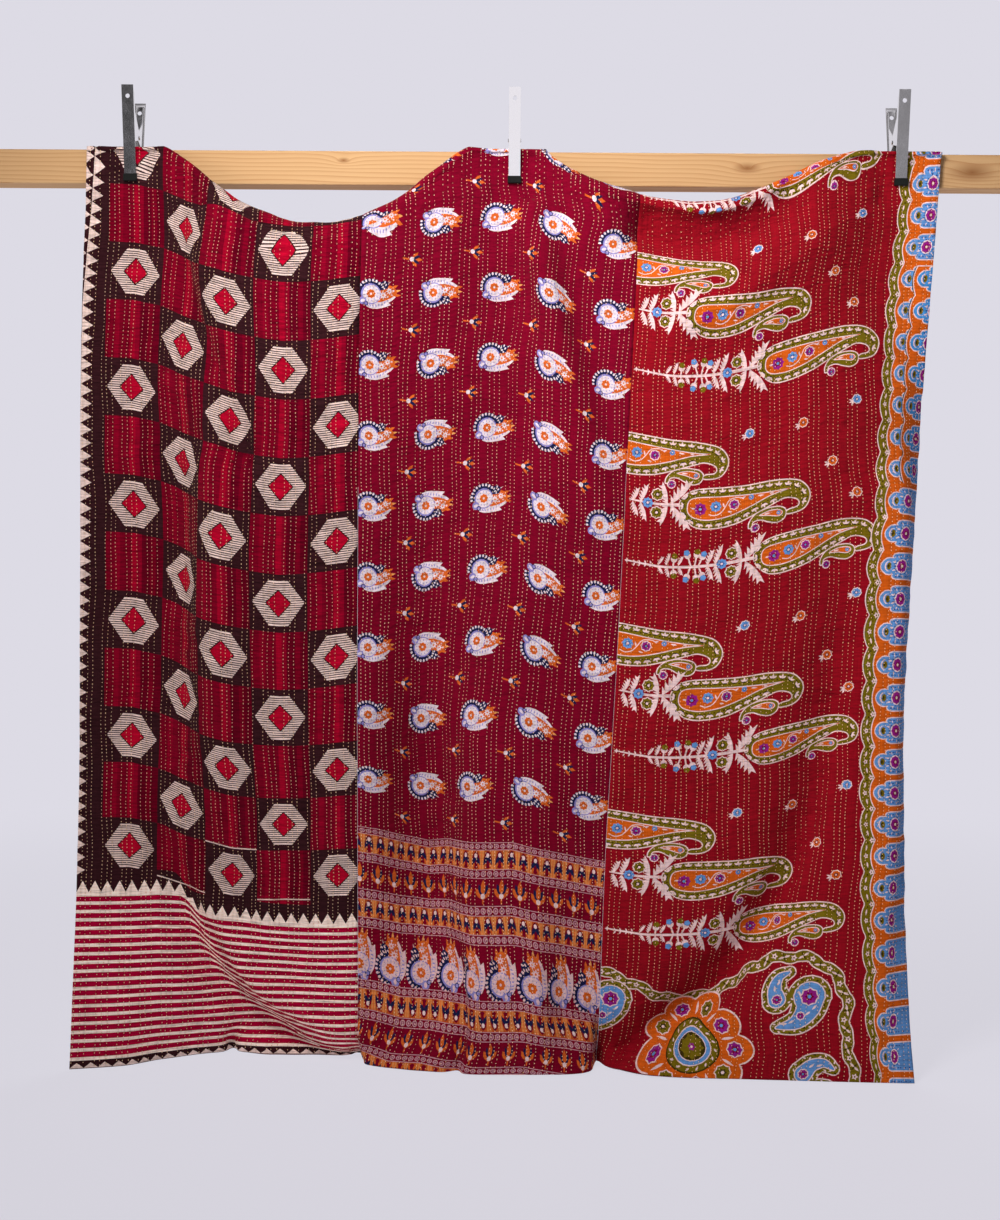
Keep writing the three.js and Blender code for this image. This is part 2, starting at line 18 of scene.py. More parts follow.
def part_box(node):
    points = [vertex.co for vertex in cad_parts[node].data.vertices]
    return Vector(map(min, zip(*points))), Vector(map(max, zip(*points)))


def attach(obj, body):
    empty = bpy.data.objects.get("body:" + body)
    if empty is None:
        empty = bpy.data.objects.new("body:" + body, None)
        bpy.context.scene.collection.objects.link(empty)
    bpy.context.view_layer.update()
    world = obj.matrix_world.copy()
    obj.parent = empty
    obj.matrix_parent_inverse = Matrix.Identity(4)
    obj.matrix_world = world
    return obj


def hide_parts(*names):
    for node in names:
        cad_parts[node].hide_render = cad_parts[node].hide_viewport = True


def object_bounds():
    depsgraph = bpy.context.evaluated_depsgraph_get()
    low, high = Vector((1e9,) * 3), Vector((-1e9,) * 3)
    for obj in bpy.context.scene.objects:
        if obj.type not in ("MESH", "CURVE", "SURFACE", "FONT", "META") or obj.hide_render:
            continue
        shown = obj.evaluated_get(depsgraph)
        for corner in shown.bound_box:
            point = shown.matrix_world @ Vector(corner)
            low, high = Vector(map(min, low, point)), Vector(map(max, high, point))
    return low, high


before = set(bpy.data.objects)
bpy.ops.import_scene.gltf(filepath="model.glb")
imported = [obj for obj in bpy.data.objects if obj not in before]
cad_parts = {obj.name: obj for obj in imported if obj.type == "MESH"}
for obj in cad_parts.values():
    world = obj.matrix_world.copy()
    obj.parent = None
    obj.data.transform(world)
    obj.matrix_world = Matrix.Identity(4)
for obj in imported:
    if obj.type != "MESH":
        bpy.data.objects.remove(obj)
cad_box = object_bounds()
MM = 0.001
rail_low, rail_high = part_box("rail")
RAIL_FRONT = rail_low.y / MM
RAIL_TOP = rail_high.z / MM
print("solids:", len(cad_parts), "rail front and top in mm:", round(RAIL_FRONT, 1), round(RAIL_TOP, 1))

# %% [markdown]
# ## Camera
# The quilt is seen square on, from about three metres, with the lens level with its middle. A small
# shift puts the level line a little under the middle of the picture, so the uprights stay upright, and a
# slight roll gives the rail its fall to the right.

# %% Camera
VIEW = dict(across=-22.6, ahead=3109.0, height=-854.0, lens=48.5, sensor=36.0, shift=0.0246, roll=0.006)


def make_camera():
    data = bpy.data.cameras.new("camera")
    data.lens, data.sensor_width, data.shift_y = VIEW["lens"], VIEW["sensor"], VIEW["shift"]
    camera = bpy.data.objects.new("camera", data)
    camera.location = (VIEW["across"] * MM, -VIEW["ahead"] * MM, VIEW["height"] * MM)
    camera.rotation_euler = (math.pi / 2, -VIEW["roll"], 0)
    bpy.context.scene.collection.objects.link(camera)
    bpy.context.scene.camera = camera
    return camera


print("camera at", [round(c, 3) for c in make_camera().location])

# %% [markdown]
# ## Floor and light
# A pale floor lies just under the hem and fades into a pale world, so there is no wall in the way when
# the quilt is seen from behind. The main light is a soft one, high in front and to the left, so the
# cloth is brightest by the rail, falls off towards the hem, and its folds turn dark on their right.
# Weaker ones light the rest.

# %% Floor, world and lights
FLOOR_GAP = 0.0015
FLOOR_HALF = 8.0
PALE = (0.80, 0.77, 0.82)
ROOM = (0.723, 0.708, 0.783)
ROOM_LIGHT, ROOM_SEEN = 0.046, 1.0  # strength as light on the quilt, and as the backdrop
FADE = dict(start=1.2, end=5.0, least=0.85)  # where the floor turns to backdrop, and its share by the hem
MIRRORED = (  # the room from left to right, as the steel mirrors it: place and strength
    (0.0, 1.4), (0.2, 1.3), (0.3, 0.05), (0.4, 0.06), (0.48, 2.0), (0.53, 1.9), (0.6, 0.5), (0.68, 0.3),
    (1.0, 0.3))
MIRRORED_BEHIND = 1.3
LIGHTS = [  # name, place, aim, size across, power, spread in degrees
    ("key", (-0.6, -1.4, 0.82), (0.55, 0.0, -0.42), 0.7, 23.8, 120.0),
    ("side", (-2.6, -1.3, -0.5), (0.1, 0.0, -0.8), 0.7, 8.5, 180.0),
    ("fill", (2.4, -2.4, 0.2), (0.0, 0.0, -0.7), 1.6, 1.6, 180.0),
    ("back", (0.6, 2.6, 1.3), (0.0, 0.0, -0.5), 1.8, 55.0, 180.0),
]


def floor_material():
    """Pale and matt near the quilt, and the colour of the backdrop further off."""
    material = bpy.data.materials.new("pale_floor")
    material.use_nodes = True
    tree = material.node_tree
    near = tree.nodes["Principled BSDF"]
    near.inputs["Base Color"].default_value = (*PALE, 1)
    near.inputs["Roughness"].default_value = 0.9
    near.inputs["Specular IOR Level"].default_value = 0.1
    far = tree.nodes.new("ShaderNodeEmission")
    far.inputs["Color"].default_value = (*ROOM, 1)
    far.inputs["Strength"].default_value = ROOM_SEEN
    away = tree.nodes.new("ShaderNodeVectorMath")
    away.operation = "LENGTH"
    tree.links.new(tree.nodes.new("ShaderNodeTexCoord").outputs["Object"], away.inputs[0])
    fade = tree.nodes.new("ShaderNodeMapRange")
    fade.interpolation_type = "SMOOTHSTEP"
    fade.inputs["From Min"].default_value, fade.inputs["From Max"].default_value = FADE["start"], FADE["end"]
    fade.inputs["To Min"].default_value = FADE["least"]
    tree.links.new(away.outputs["Value"], fade.inputs["Value"])
    mix = tree.nodes.new("ShaderNodeMixShader")
    tree.links.new(fade.outputs[0], mix.inputs[0])
    tree.links.new(near.outputs[0], mix.inputs[1])
    tree.links.new(far.outputs[0], mix.inputs[2])
    tree.links.new(mix.outputs[0], tree.nodes["Material Output"].inputs["Surface"])
    return material


def make_floor():
    height = cad_box[0].z - FLOOR_GAP
    corners = [(x * FLOOR_HALF, y * FLOOR_HALF, height) for x, y in ((-1, -1), (1, -1), (1, 1), (-1, 1))]
    mesh = bpy.data.meshes.new("floor")
    mesh.from_pydata(corners, [], [(0, 1, 2, 3)])
    mesh.materials.append(floor_material())
    floor = bpy.data.objects.new("floor", mesh)
    bpy.context.scene.collection.objects.link(floor)
    return floor


def make_light(name, place, aim, size, power, spread):
    data = bpy.data.lights.new(name, "AREA")
    data.size, data.energy, data.spread = size, power, math.radians(spread)
    light = bpy.data.objects.new(name, data)
    light.location = place
    light.rotation_euler = (Vector(aim) - Vector(place)).to_track_quat("-Z", "Y").to_euler()
    light.visible_camera = light.visible_glossy = False
    bpy.context.scene.collection.objects.link(light)


def mix_of(tree, share, first, second):
    mix = tree.nodes.new("ShaderNodeMix")
    for socket, link in zip((0, 2, 3), (share, first, second)):
        if link:
            tree.links.new(link, mix.inputs[socket])
    return mix


def make_world():
    """A pale room: bright as a backdrop, dimmer as light, with a lamp and dark corners for the steel."""
    world = bpy.data.worlds.new("pale_room")
    world.use_nodes = True
    tree = world.node_tree
    room = tree.nodes["Background"]
    room.inputs["Color"].default_value = (*ROOM, 1)
    path = tree.nodes.new("ShaderNodeLightPath").outputs
    strength = tree.nodes.new("ShaderNodeMapRange")
    strength.inputs["To Min"].default_value = ROOM_LIGHT
    strength.inputs["To Max"].default_value = ROOM_SEEN
    tree.links.new(path["Is Camera Ray"], strength.inputs["Value"])
    direction = tree.nodes.new("ShaderNodeSeparateXYZ")
    tree.links.new(tree.nodes.new("ShaderNodeTexCoord").outputs["Generated"], direction.inputs[0])
    place = tree.nodes.new("ShaderNodeMapRange")
    place.inputs["From Min"].default_value = -1.0
    tree.links.new(direction.outputs[0], place.inputs["Value"])
    ramp = tree.nodes.new("ShaderNodeValToRGB")
    for i, (at, value) in enumerate(MIRRORED):
        stop = ramp.color_ramp.elements[i] if i < 2 else ramp.color_ramp.elements.new(at)
        stop.position, stop.color = at, (value, value, value, 1)
    tree.links.new(place.outputs[0], ramp.inputs[0])
    behind = tree.nodes.new("ShaderNodeMath")
    behind.operation = "GREATER_THAN"
    behind.inputs[1].default_value = 0.0
    tree.links.new(direction.outputs[1], behind.inputs[0])
    mirrored = mix_of(tree, behind.outputs[0], ramp.outputs[0], None)
    mirrored.inputs[3].default_value = MIRRORED_BEHIND
    mixed_strength = mix_of(tree, path["Is Glossy Ray"], strength.outputs[0], mirrored.outputs[0])
    tree.links.new(mixed_strength.outputs[0], room.inputs["Strength"])
    bpy.context.scene.world = world


make_world()
for light in LIGHTS:
    make_light(*light)
bpy.context.scene.view_settings.view_transform = "Standard"
print("floor at", round(make_floor().data.vertices[0].co.z, 4), "lights:", len(LIGHTS))

# %% [markdown]
# ## How the quilt hangs
# Every point of the flat cloth has two measures: how far across the quilt it lies, and how far down from
# the fold by the clamps. The hung shape is a function of the two. It is the shape of the solids, worked
# out on a finer grid: sections across the front layer, creases laid over them, a roll over the top and a
# flap behind. A simulation could drape it as well, but measured folds keep the quilt in its own place.

# %% Sizes of the flat cloth and its folds, in millimetres
CLOTH = dict(thickness=2.4, drop=1750.0, flap=450.0)
SEAM_LEFT, SEAM_RIGHT, WIDTH = 552.0, 1112.0, 1697.0
FOLD = dict(rise=1.5, loop_depth=13.2, flap_depth=3.4, loop_fade=9.0, level=70.0, settle=0.025)
FLAP_WAVE = dict(length=176.0, share=0.42, spare=12.0, ramp=120.0)
PINCH = dict(down=66.0, depth=6.4, across_flat=34.0, across_fall=26.0, down_flat=28.0, down_fall=30.0)
LEAN = dict(start=1100.0, upper=0.99, lower=0.923, tuck=8.0)
DIP = dict(even_share=0.5, late_power=5)
SAGS = [
    dict(start=150, lowest=465, end=764, drop=148, dip=60, start_power=1.15, end_power=1.15),
    dict(start=920, lowest=1230, end=1569, drop=100, dip=55, start_power=0.75, end_power=2),
]
HANG = {  # down the cloth: where the left edge, the two seams and the right edge hang
    0: (-802, -280, 236, 801),
    450: (-810, -286, 215, 767),
    900: (-807, -285, 194, 739),
    1350: (-797, -280, 171, 719),
    1750: (-779, -275, 157, 700),
}
CLAMPS_ACROSS = (86, 855, 1623)
PLACES = (0, 86, 160, 298, 400, 552, 711, 855, 955, 1035, 1112, 1242, 1442, 1623, 1697)
SECTIONS = {  # down the cloth: how far the front layer stands ahead of the rail at each place across
    64: (8, 6.4, 13, 62, 72, 66, 30, 6.4, 36, 50, 56, 62, 36, 6.4, 9),
    200: (11, 9, 16, 84, 84, 70, 38, 11, 48, 44, 50, 66, 44, 10, 14),
    450: (15, 15, 23, 80, 76, 64, 40, 24, 50, 56, 62, 72, 64, 42, 12),
    750: (18, 14, 10, 94, 76, 66, 28, 48, 64, 66, 70, 78, 82, 76, 16),
    1100: (32, 25, 20, 86, 78, 78, 14, 80, 92, 88, 84, 88, 92, 98, 36),
    1420: (84, 76, 64, 60, 88, 96, 40, 126, 134, 116, 104, 112, 112, 142, 96),
    1630: (148, 130, 104, 66, 76, 108, 118, 180, 190, 150, 138, 140, 184, 206, 180),
    1750: (186, 160, 112, 52, 92, 131, 180, 206, 204, 202, 205, 214, 228, 242, 244),
}
CREASES = [  # start, two handles, end; half width to the left and right; depth at the start and end
    ((160, 95), (190, 230), (262, 370), (340, 545), 34, 30, 2, 26),
    ((872, 70), (900, 220), (985, 380), (1062, 640), 40, 32, -17, -7),
    ((930, 70), (960, 220), (1040, 380), (1100, 620), 34, 38, 13, 6),
    ((180, 1330), (215, 1470), (285, 1715), (545, 1745), 54, 36, 13, 46),
    ((214, 1318), (262, 1446), (345, 1660), (556, 1694), 34, 40, -8, -22),
    ((297, 1690), (298, 1710), (299, 1730), (300, 1760), 18, 18, 8, 30),
    ((552, 1650), (552, 1680), (550, 1720), (548, 1760), 22, 18, 6, 34),
    ((790, 1560), (791, 1620), (792, 1690), (793, 1760), 22, 16, 4, 22),
    ((1106, 1640), (1108, 1680), (1110, 1720), (1110, 1760), 20, 22, 8, 46),
    ((1516, 740), (1528, 1260), (1440, 1590), (1130, 1745), 60, 42, 10, 64),
    ((1125, 115), (1190, 145), (1300, 140), (1400, 85), 46, 42, 44, 26),
    ((1600, 80), (1510, 150), (1400, 230), (1210, 285), 36, 40, -4, -16),
]


# %% Curves through the tables
def smooth_curve(places, values):
    """A curve through a table that never overshoots it."""
    places, values = np.asarray(places, float), np.asarray(values, float)
    steps = np.diff(places)
    column = (lambda a: a[:, None]) if values.ndim > 1 else (lambda a: a)
    rises = np.diff(values, axis=0) / column(steps)
    slopes = np.zeros_like(values)
    slopes[0], slopes[-1] = rises[0], rises[-1]
    for i in range(1, len(places) - 1):
        a, b = 2 * steps[i] + steps[i - 1], steps[i] + 2 * steps[i - 1]
        with np.errstate(divide="ignore", invalid="ignore"):
            mean = (a + b) / (a / rises[i - 1] + b / rises[i])
        slopes[i] = np.where(rises[i - 1] * rises[i] > 0, mean, 0)

    def at(x):
        x = np.asarray(x, float)
        i = np.clip(np.searchsorted(places, x) - 1, 0, len(places) - 2)
        t, h = np.clip((x - places[i]) / steps[i], 0, 1), steps[i]
        if values.ndim > 1:
            t, h = t[..., None], h[..., None]
        ease = t * t * (3 - 2 * t)
        bend = h * t * (1 - t) * (slopes[i] * (1 - t) - slopes[i + 1] * t)
        return values[i] + (values[i + 1] - values[i]) * ease + bend

    return at


def plateau(distance, flat, fall):
    t = np.clip((np.abs(distance) - flat) / fall, 0, 1)
    return 1 - t * t * (3 - 2 * t)


def sag_at(across, size):
    total = np.zeros_like(across)
    for sag in SAGS:
        before = np.clip((across - sag["start"]) / (sag["lowest"] - sag["start"]), 0, 1)
        after = np.clip((sag["end"] - across) / (sag["end"] - sag["lowest"]), 0, 1)
        near = np.sin(math.pi / 2 * before) ** sag["start_power"]
        far = np.sin(math.pi / 2 * after) ** sag["end_power"]
        total += sag[size] * np.where(across <= sag["lowest"], near, far)
    return total


def height_at(across, down):
    leaning = np.maximum(down - LEAN["start"], 0)
    plumb = RAIL_TOP - LEAN["upper"] * (down - LEAN["tuck"]) + (LEAN["upper"] - LEAN["lower"]) * leaning
    share = down / CLOTH["drop"]
    fade = 1 - DIP["even_share"] * share - (1 - DIP["even_share"]) * share ** DIP["late_power"]
    return plumb - sag_at(across, "dip") * fade


# %% Creases
CREASE_STEPS = 80
CREASE_REACH = 3.0  # half widths after which a crease is not felt


def crease_path(start, lead, trail, end):
    t = np.linspace(0, 1, CREASE_STEPS + 1)[:, None]
    a, b, c, d = (np.array(p, float) for p in (start, lead, trail, end))
    return (1 - t) ** 3 * a + 3 * t * (1 - t) ** 2 * b + 3 * t * t * (1 - t) * c + t**3 * d


def beside(path, u, v):
    """The nearest step of a path, the square of the gap to it, and the side: above 0 is left of the run."""
    best, near = np.full(u.shape, np.inf), np.zeros(u.shape, int)
    for i, p in enumerate(path):
        gap = (p[0] - u) ** 2 + (p[1] - v) ** 2
        near[gap < best] = i
        best = np.minimum(best, gap)
    before, after = path[np.maximum(near - 1, 0)], path[np.minimum(near + 1, CREASE_STEPS)]
    run = after - before
    return near, best, run[:, 0] * (v - before[:, 1]) - run[:, 1] * (u - before[:, 0])


def crease_depth(across, down, creases):
    """How far the creases push the front layer back towards the rail."""
    total = np.zeros_like(across)
    for start, lead, trail, end, left, right, from_depth, to_depth in creases:
        path = crease_path(start, lead, trail, end)
        margin = CREASE_REACH * max(left, right)
        low, high = path.min(0) - margin, path.max(0) + margin
        felt = (across > low[0]) & (across < high[0]) & (down > low[1]) & (down < high[1])
        near, best, side = beside(path, across[felt], down[felt])
        half = np.where(side > 0, left, right)
        depth = from_depth + (to_depth - from_depth) * near / CREASE_STEPS
        total[felt] += depth * np.exp(-best / half**2)
    return total


# %% The front layer on a grid
GRID = dict(across=566, down=350, steepest=0.15)
grid_across = np.linspace(0, WIDTH, GRID["across"] + 1)
grid_down = np.linspace(0, CLOTH["drop"], GRID["down"] + 1)


def hang_front_layer():
    """How far ahead of the rail, and how far along it, each point of the front layer hangs."""
    across, down = np.meshgrid(grid_across, grid_down)
    by_down = smooth_curve(list(SECTIONS), list(SECTIONS.values()))(grid_down)
    depth = np.array([smooth_curve(PLACES, row)(grid_across) for row in by_down])
    depth -= crease_depth(across, down, CREASES)
    level = plateau(down - PINCH["down"], PINCH["down_flat"], PINCH["down_fall"])
    holds = [plateau(across - place, PINCH["across_flat"], PINCH["across_fall"]) for place in CLAMPS_ACROSS]
    depth += (PINCH["depth"] - depth) * level * np.max(holds, axis=0)
    step = grid_across[1]
    slope = np.diff(depth, axis=1) / step
    run = np.cumsum(step * np.sqrt(np.maximum(1 - slope**2, GRID["steepest"])), axis=1)
    run = np.hstack([np.zeros((len(grid_down), 1)), run])
    hang = smooth_curve(list(HANG), list(HANG.values()))(grid_down)
    cells = [round(edge / step) for edge in (0, SEAM_LEFT, SEAM_RIGHT, WIDTH)]
    along = np.zeros_like(run)
    for k, (a, b) in enumerate(zip(cells, cells[1:])):
        share = (run[:, a:b + 1] - run[:, a:a + 1]) / (run[:, b:b + 1] - run[:, a:a + 1])
        along[:, a:b + 1] = hang[:, k:k + 1] + (hang[:, k + 1:k + 2] - hang[:, k:k + 1]) * share
    return depth, along


front_depth, front_along = hang_front_layer()
print("front layer stands ahead of the rail by", front_depth.min().round(1), "to",
      front_depth.max().round(1), "mm")


# %% Any point of the cloth, over the flap, the roll and the front layer
def sample(grid, across, down):
    fi = np.clip(across / grid_across[1], 0, GRID["across"] - 1e-6)
    fj = np.clip(down / grid_down[1], 0, GRID["down"] - 1e-6)
    i, j = fi.astype(int), fj.astype(int)
    s, t = fi - i, fj - j
    near = grid[j, i] * (1 - s) + grid[j, i + 1] * s
    far = grid[j + 1, i] * (1 - s) + grid[j + 1, i + 1] * s
    return near * (1 - t) + far * t


def fold_at(across):
    """The roll over the top: its front, radius and middle, and where the front and the flap leave it."""
    front = np.maximum(sample(front_depth, across, np.full_like(across, FOLD["level"])), FOLD["loop_depth"])
    radius = (front - FOLD["flap_depth"]) / 2
    middle = RAIL_TOP + FOLD["rise"] - sag_at(across, "drop") - radius
    start = LEAN["tuck"] + (RAIL_TOP - middle) / LEAN["upper"] - sag_at(across, "dip")
    return front, radius, middle, start, start - math.pi * radius


def cloth_middle(across, down):
    """Where the middle of the cloth's thickness hangs, in millimetres."""
    front, radius, middle, start, top = fold_at(across)
    below = np.maximum(down, start)
    loop = (front - sample(front_depth, across, start)) * np.exp((start - below) / FOLD["loop_fade"])
    settled = np.minimum((below - start) / (CLOTH["drop"] - start) / FOLD["settle"], 1)
    front_z = middle + (height_at(across, below) - middle) * settled
    front_out = sample(front_depth, across, below) + loop
    turn = np.clip((down - top) / radius, 0, math.pi)
    roll_out = FOLD["flap_depth"] + radius * (1 - np.cos(turn))
    roll_z = middle + radius * np.sin(turn)
    hangs = np.maximum(top - down, 0)
    behind = np.minimum(start + hangs, CLOTH["drop"])
    room = np.maximum(sample(front_depth, across, behind) - FLAP_WAVE["spare"], 0)
    swell = (1 - np.cos(2 * math.pi * across / FLAP_WAVE["length"])) / 2
    ramp = np.minimum(hangs / FLAP_WAVE["ramp"], 1)
    flap_out = FOLD["flap_depth"] + FLAP_WAVE["share"] * room * swell * ramp
    parts = [down >= start, down < top]
    along = sample(front_along, across, np.where(down < top, behind, below))
    out = np.select(parts, [front_out, flap_out], roll_out)
    height = np.select(parts, [front_z, middle - hangs], roll_z)
    return np.column_stack([along, RAIL_FRONT - out, height])


def cloth_facing(across, down, reach=2.0):
    """Which way the printed face points."""
    side = cloth_middle(np.minimum(across + reach, WIDTH), down)
    side -= cloth_middle(np.maximum(across - reach, 0), down)
    run = cloth_middle(across, np.minimum(down + reach, CLOTH["drop"]))
    run -= cloth_middle(across, np.maximum(down - reach, -CLOTH["flap"]))
    facing = np.cross(run, side)
    return facing / np.linalg.norm(facing, axis=1)[:, None]


lowest = np.array([SAGS[0]["lowest"]], float)
ridge = cloth_middle(lowest, fold_at(lowest)[3] - 30)
print("lowest of the left sag is near", ridge.round(0).tolist())

# %% [markdown]
# ## Drawing tools for the prints
# A block printer works with a few shapes that are repeated down the cloth: discs, petals, leaves,
# ribbons and paisley loops. Each shape here is a closed outline on the flat cloth, in millimetres, with
# the name of its dye. A motif is a list of shapes in the order in which they are printed, so a later one
# covers an earlier one.

# %% Dyes
DYES = {
    "bark": (50, 22, 26), "crimson": (116, 3, 28), "crimson_mid": (132, 4, 32), "crimson_light": (152, 5, 35),
    "crimson_dark": (96, 2, 24), "madder": (166, 3, 47), "ivory": (255, 228, 212), "scarlet": (172, 6, 38),
    "cream": (232, 203, 192), "maroon": (120, 5, 33), "brick": (142, 13, 27), "orange": (208, 94, 36),
    "amber": (188, 80, 34), "amber_light": (226, 148, 84), "white": (224, 206, 212),
    "lavender": (140, 130, 190), "navy": (28, 30, 68), "lilac": (192, 140, 150), "blush": (238, 204, 202),
    "rose": (226, 186, 188), "olive": (116, 98, 18), "olive_dark": (60, 48, 14), "sky": (98, 146, 204),
    "azure": (72, 142, 206), "slate": (56, 82, 146), "purple": (146, 30, 126), "tangerine": (212, 92, 22),
}


def linear(colour):
    """A dye given on a 0 to 255 scale, as the amounts of light that it throws back."""
    c = np.array(colour, float) / 255
    return np.where(c <= 0.04045, c / 12.92, ((c + 0.055) / 1.055) ** 2.4)


print("dyes:", len(DYES))


# %% Curves and simple shapes
def smooth_line(points, closed=False, steps=5):
    p = np.array(points, float)
    before, after = (p[-1:], p[:2]) if closed else (2 * p[:1] - p[1:2], 2 * p[-1:] - p[-2:-1])
    q = np.concatenate([before, p, after])
    t = np.arange(steps)[:, None] / steps
    parts = []
    for a, b, c, d in zip(q, q[1:], q[2:], q[3:]):
        bend = (a - 2.5 * b + 2 * c - d / 2) * t**2 + (1.5 * (b - c) + (d - a) / 2) * t**3
        parts.append(b + (c - a) / 2 * t + bend)
    line = np.concatenate(parts)
    return line if closed else np.vstack([line, p[-1:]])


def loop(points, steps=4):
    return smooth_line(points, closed=True, steps=steps)


def turned(outline, turn, u=0.0, v=0.0):
    c, s = math.cos(math.radians(turn)), math.sin(math.radians(turn))
    x, y = np.asarray(outline, float).T
    return np.column_stack([u + x * c - y * s, v + x * s + y * c])


def disc(x, y, radius, squash=1.0, turn=0.0, sides=9):
    a = np.arange(sides) * 2 * math.pi / sides
    return turned(np.column_stack([radius * np.cos(a), radius * squash * np.sin(a)]), turn, x, y)


def flower(x, y, radius, petals, cut=0.3, points=3):
    a = np.arange(petals * points) * 2 * math.pi / (petals * points)
    r = radius * (1 - cut * (0.5 - 0.5 * np.cos(petals * a)))
    return np.column_stack([x + r * np.cos(a), y + r * np.sin(a)])


LEAF = np.array([(0, 0), (0.28, 0.44), (0.62, 0.44), (1, 0), (0.62, -0.44), (0.28, -0.44)])


def leaf(x, y, length, width, turn):
    return turned(LEAF * (length, width), turn, x, y)


def ribbon(line, half):
    line = np.array(line, float)
    run = np.gradient(line, axis=0)
    side = np.column_stack([-run[:, 1], run[:, 0]]) / np.linalg.norm(run, axis=1)[:, None] * half
    return np.vstack([line + side, (line - side)[::-1]])


def inset(outline, by):
    """The same outline drawn a little further in."""
    run = np.roll(outline, -1, axis=0) - np.roll(outline, 1, axis=0)
    side = np.column_stack([-run[:, 1], run[:, 0]]) / np.linalg.norm(run, axis=1)[:, None]
    x, y = outline.T
    return outline + side * by * np.sign(np.sum(x * np.roll(y, -1) - np.roll(x, -1) * y))


def evenly(line, spacing):
    """Places and directions at even spacing along a line."""
    at = np.concatenate([[0], np.cumsum(np.linalg.norm(np.diff(line, axis=0), axis=1))])
    count = max(int(at[-1] / spacing), 1)
    want = (np.arange(count) + 0.5) * at[-1] / count
    x, y = (np.interp(want, at, line[:, k]) for k in (0, 1))
    back_x, back_y = (np.interp(want - 1, at, line[:, k]) for k in (0, 1))
    return list(zip(x, y, np.degrees(np.arctan2(y - back_y, x - back_x))))


def box(u0, v0, u1, v1):
    return np.array([(u0, v0), (u1, v0), (u1, v1), (u0, v1)], float)


def place(motif, u, v, turn=0.0, size=1.0, flip=False):
    scale = (size, -size if flip else size)
    return [(dye, turned(outline * scale, turn, u, v)) for dye, outline in motif]


# %% [markdown]
# ## Left panel: checks, zigzag and stripes
# The left length is a chequer of crimson blocks and brown blocks. Each brown block has a cream hexagon
# ruled with fine brown lines and a red diamond in its middle. A double row of cream triangles runs down
# the edge, a zigzag crosses the foot, and red and cream stripes fill the end.

# %% Left panel
BLOCK = dict(first=46.0, across=104.0, down=110.0, columns=5, row_middle=17.0)
HEXAGON = dict(across=94.0, down=85.0, flat=0.37, lines=20, line_share=0.42)
DIAMOND = dict(across=43.0, down=48.0, rim=2.6)
ZIGZAG = dict(base=1428.0, tall=22.0, pitch=23.0, clear=1388.0)
STRIPES = dict(top=1436.0, bottom=1736.0, count=19, red_share=0.62)
LOOSE_LINES = ((1, 1387.6), (3, 1387.6), (2, 1282.0))  # column and foot of a block with a cream line under it
EDGE_TEETH = dict(pitch=24.8, inner=21.0, outer=17.0, end=1405.0)
EDGE_LINE = {-450: 17, 0: 17, 290: 1, 780: -1, 1000: -8, 1410: -6}  # down the cloth: foot of the inner row
CRIMSON_BANDS = (  # where each band of a block ends across it
    ("crimson", 0.16), ("crimson_mid", 0.25), ("crimson", 0.45), ("crimson_light", 0.55),
    ("crimson_mid", 0.63), ("crimson_dark", 0.78), ("crimson", 0.87), ("crimson_dark", 1.0))
SPARE = 20.0  # how far a ground runs past the panel's edges


def hexagon():
    w, h, flat = HEXAGON["across"] / 2, HEXAGON["down"] / 2, HEXAGON["across"] * HEXAGON["flat"] / 2
    corners = [(-w, 0), (-flat, -h), (flat, -h), (w, 0), (flat, h), (-flat, h)]
    motif = [("cream", np.array(corners, float))]
    pitch = HEXAGON["down"] / HEXAGON["lines"]
    half = pitch * HEXAGON["line_share"] / 2
    for i in range(1, HEXAGON["lines"]):
        y = -h + i * pitch
        reach = w - (w - flat) * abs(y) / h + 1.0
        motif.append(("bark", box(-reach, y - half, reach, y + half)))
    dw, dh, rim = DIAMOND["across"] / 2, DIAMOND["down"] / 2, DIAMOND["rim"]
    diamond = np.array([(-dw, 0), (0, -dh), (dw, 0), (0, dh)])
    return motif + [("bark", diamond * (1 + rim / dw)), ("scarlet", diamond)]


def red_block():
    w, h = BLOCK["across"], BLOCK["down"]
    motif, start = [], 0.0
    for dye, end in CRIMSON_BANDS:
        motif.append((dye, box((start - 0.5) * w, -h / 2, (end - 0.5) * w, h / 2)))
        start = end
    return motif


def teeth(feet, depth, dye="cream"):
    """Cream triangles whose feet follow a line; they point to the left of its run."""
    shapes = []
    for a, b in zip(feet, feet[1:]):
        run = (b - a) / np.linalg.norm(b - a)
        shapes.append((dye, np.vstack([a, (a + b) / 2 + depth * np.array([run[1], -run[0]]), b])))
    return shapes


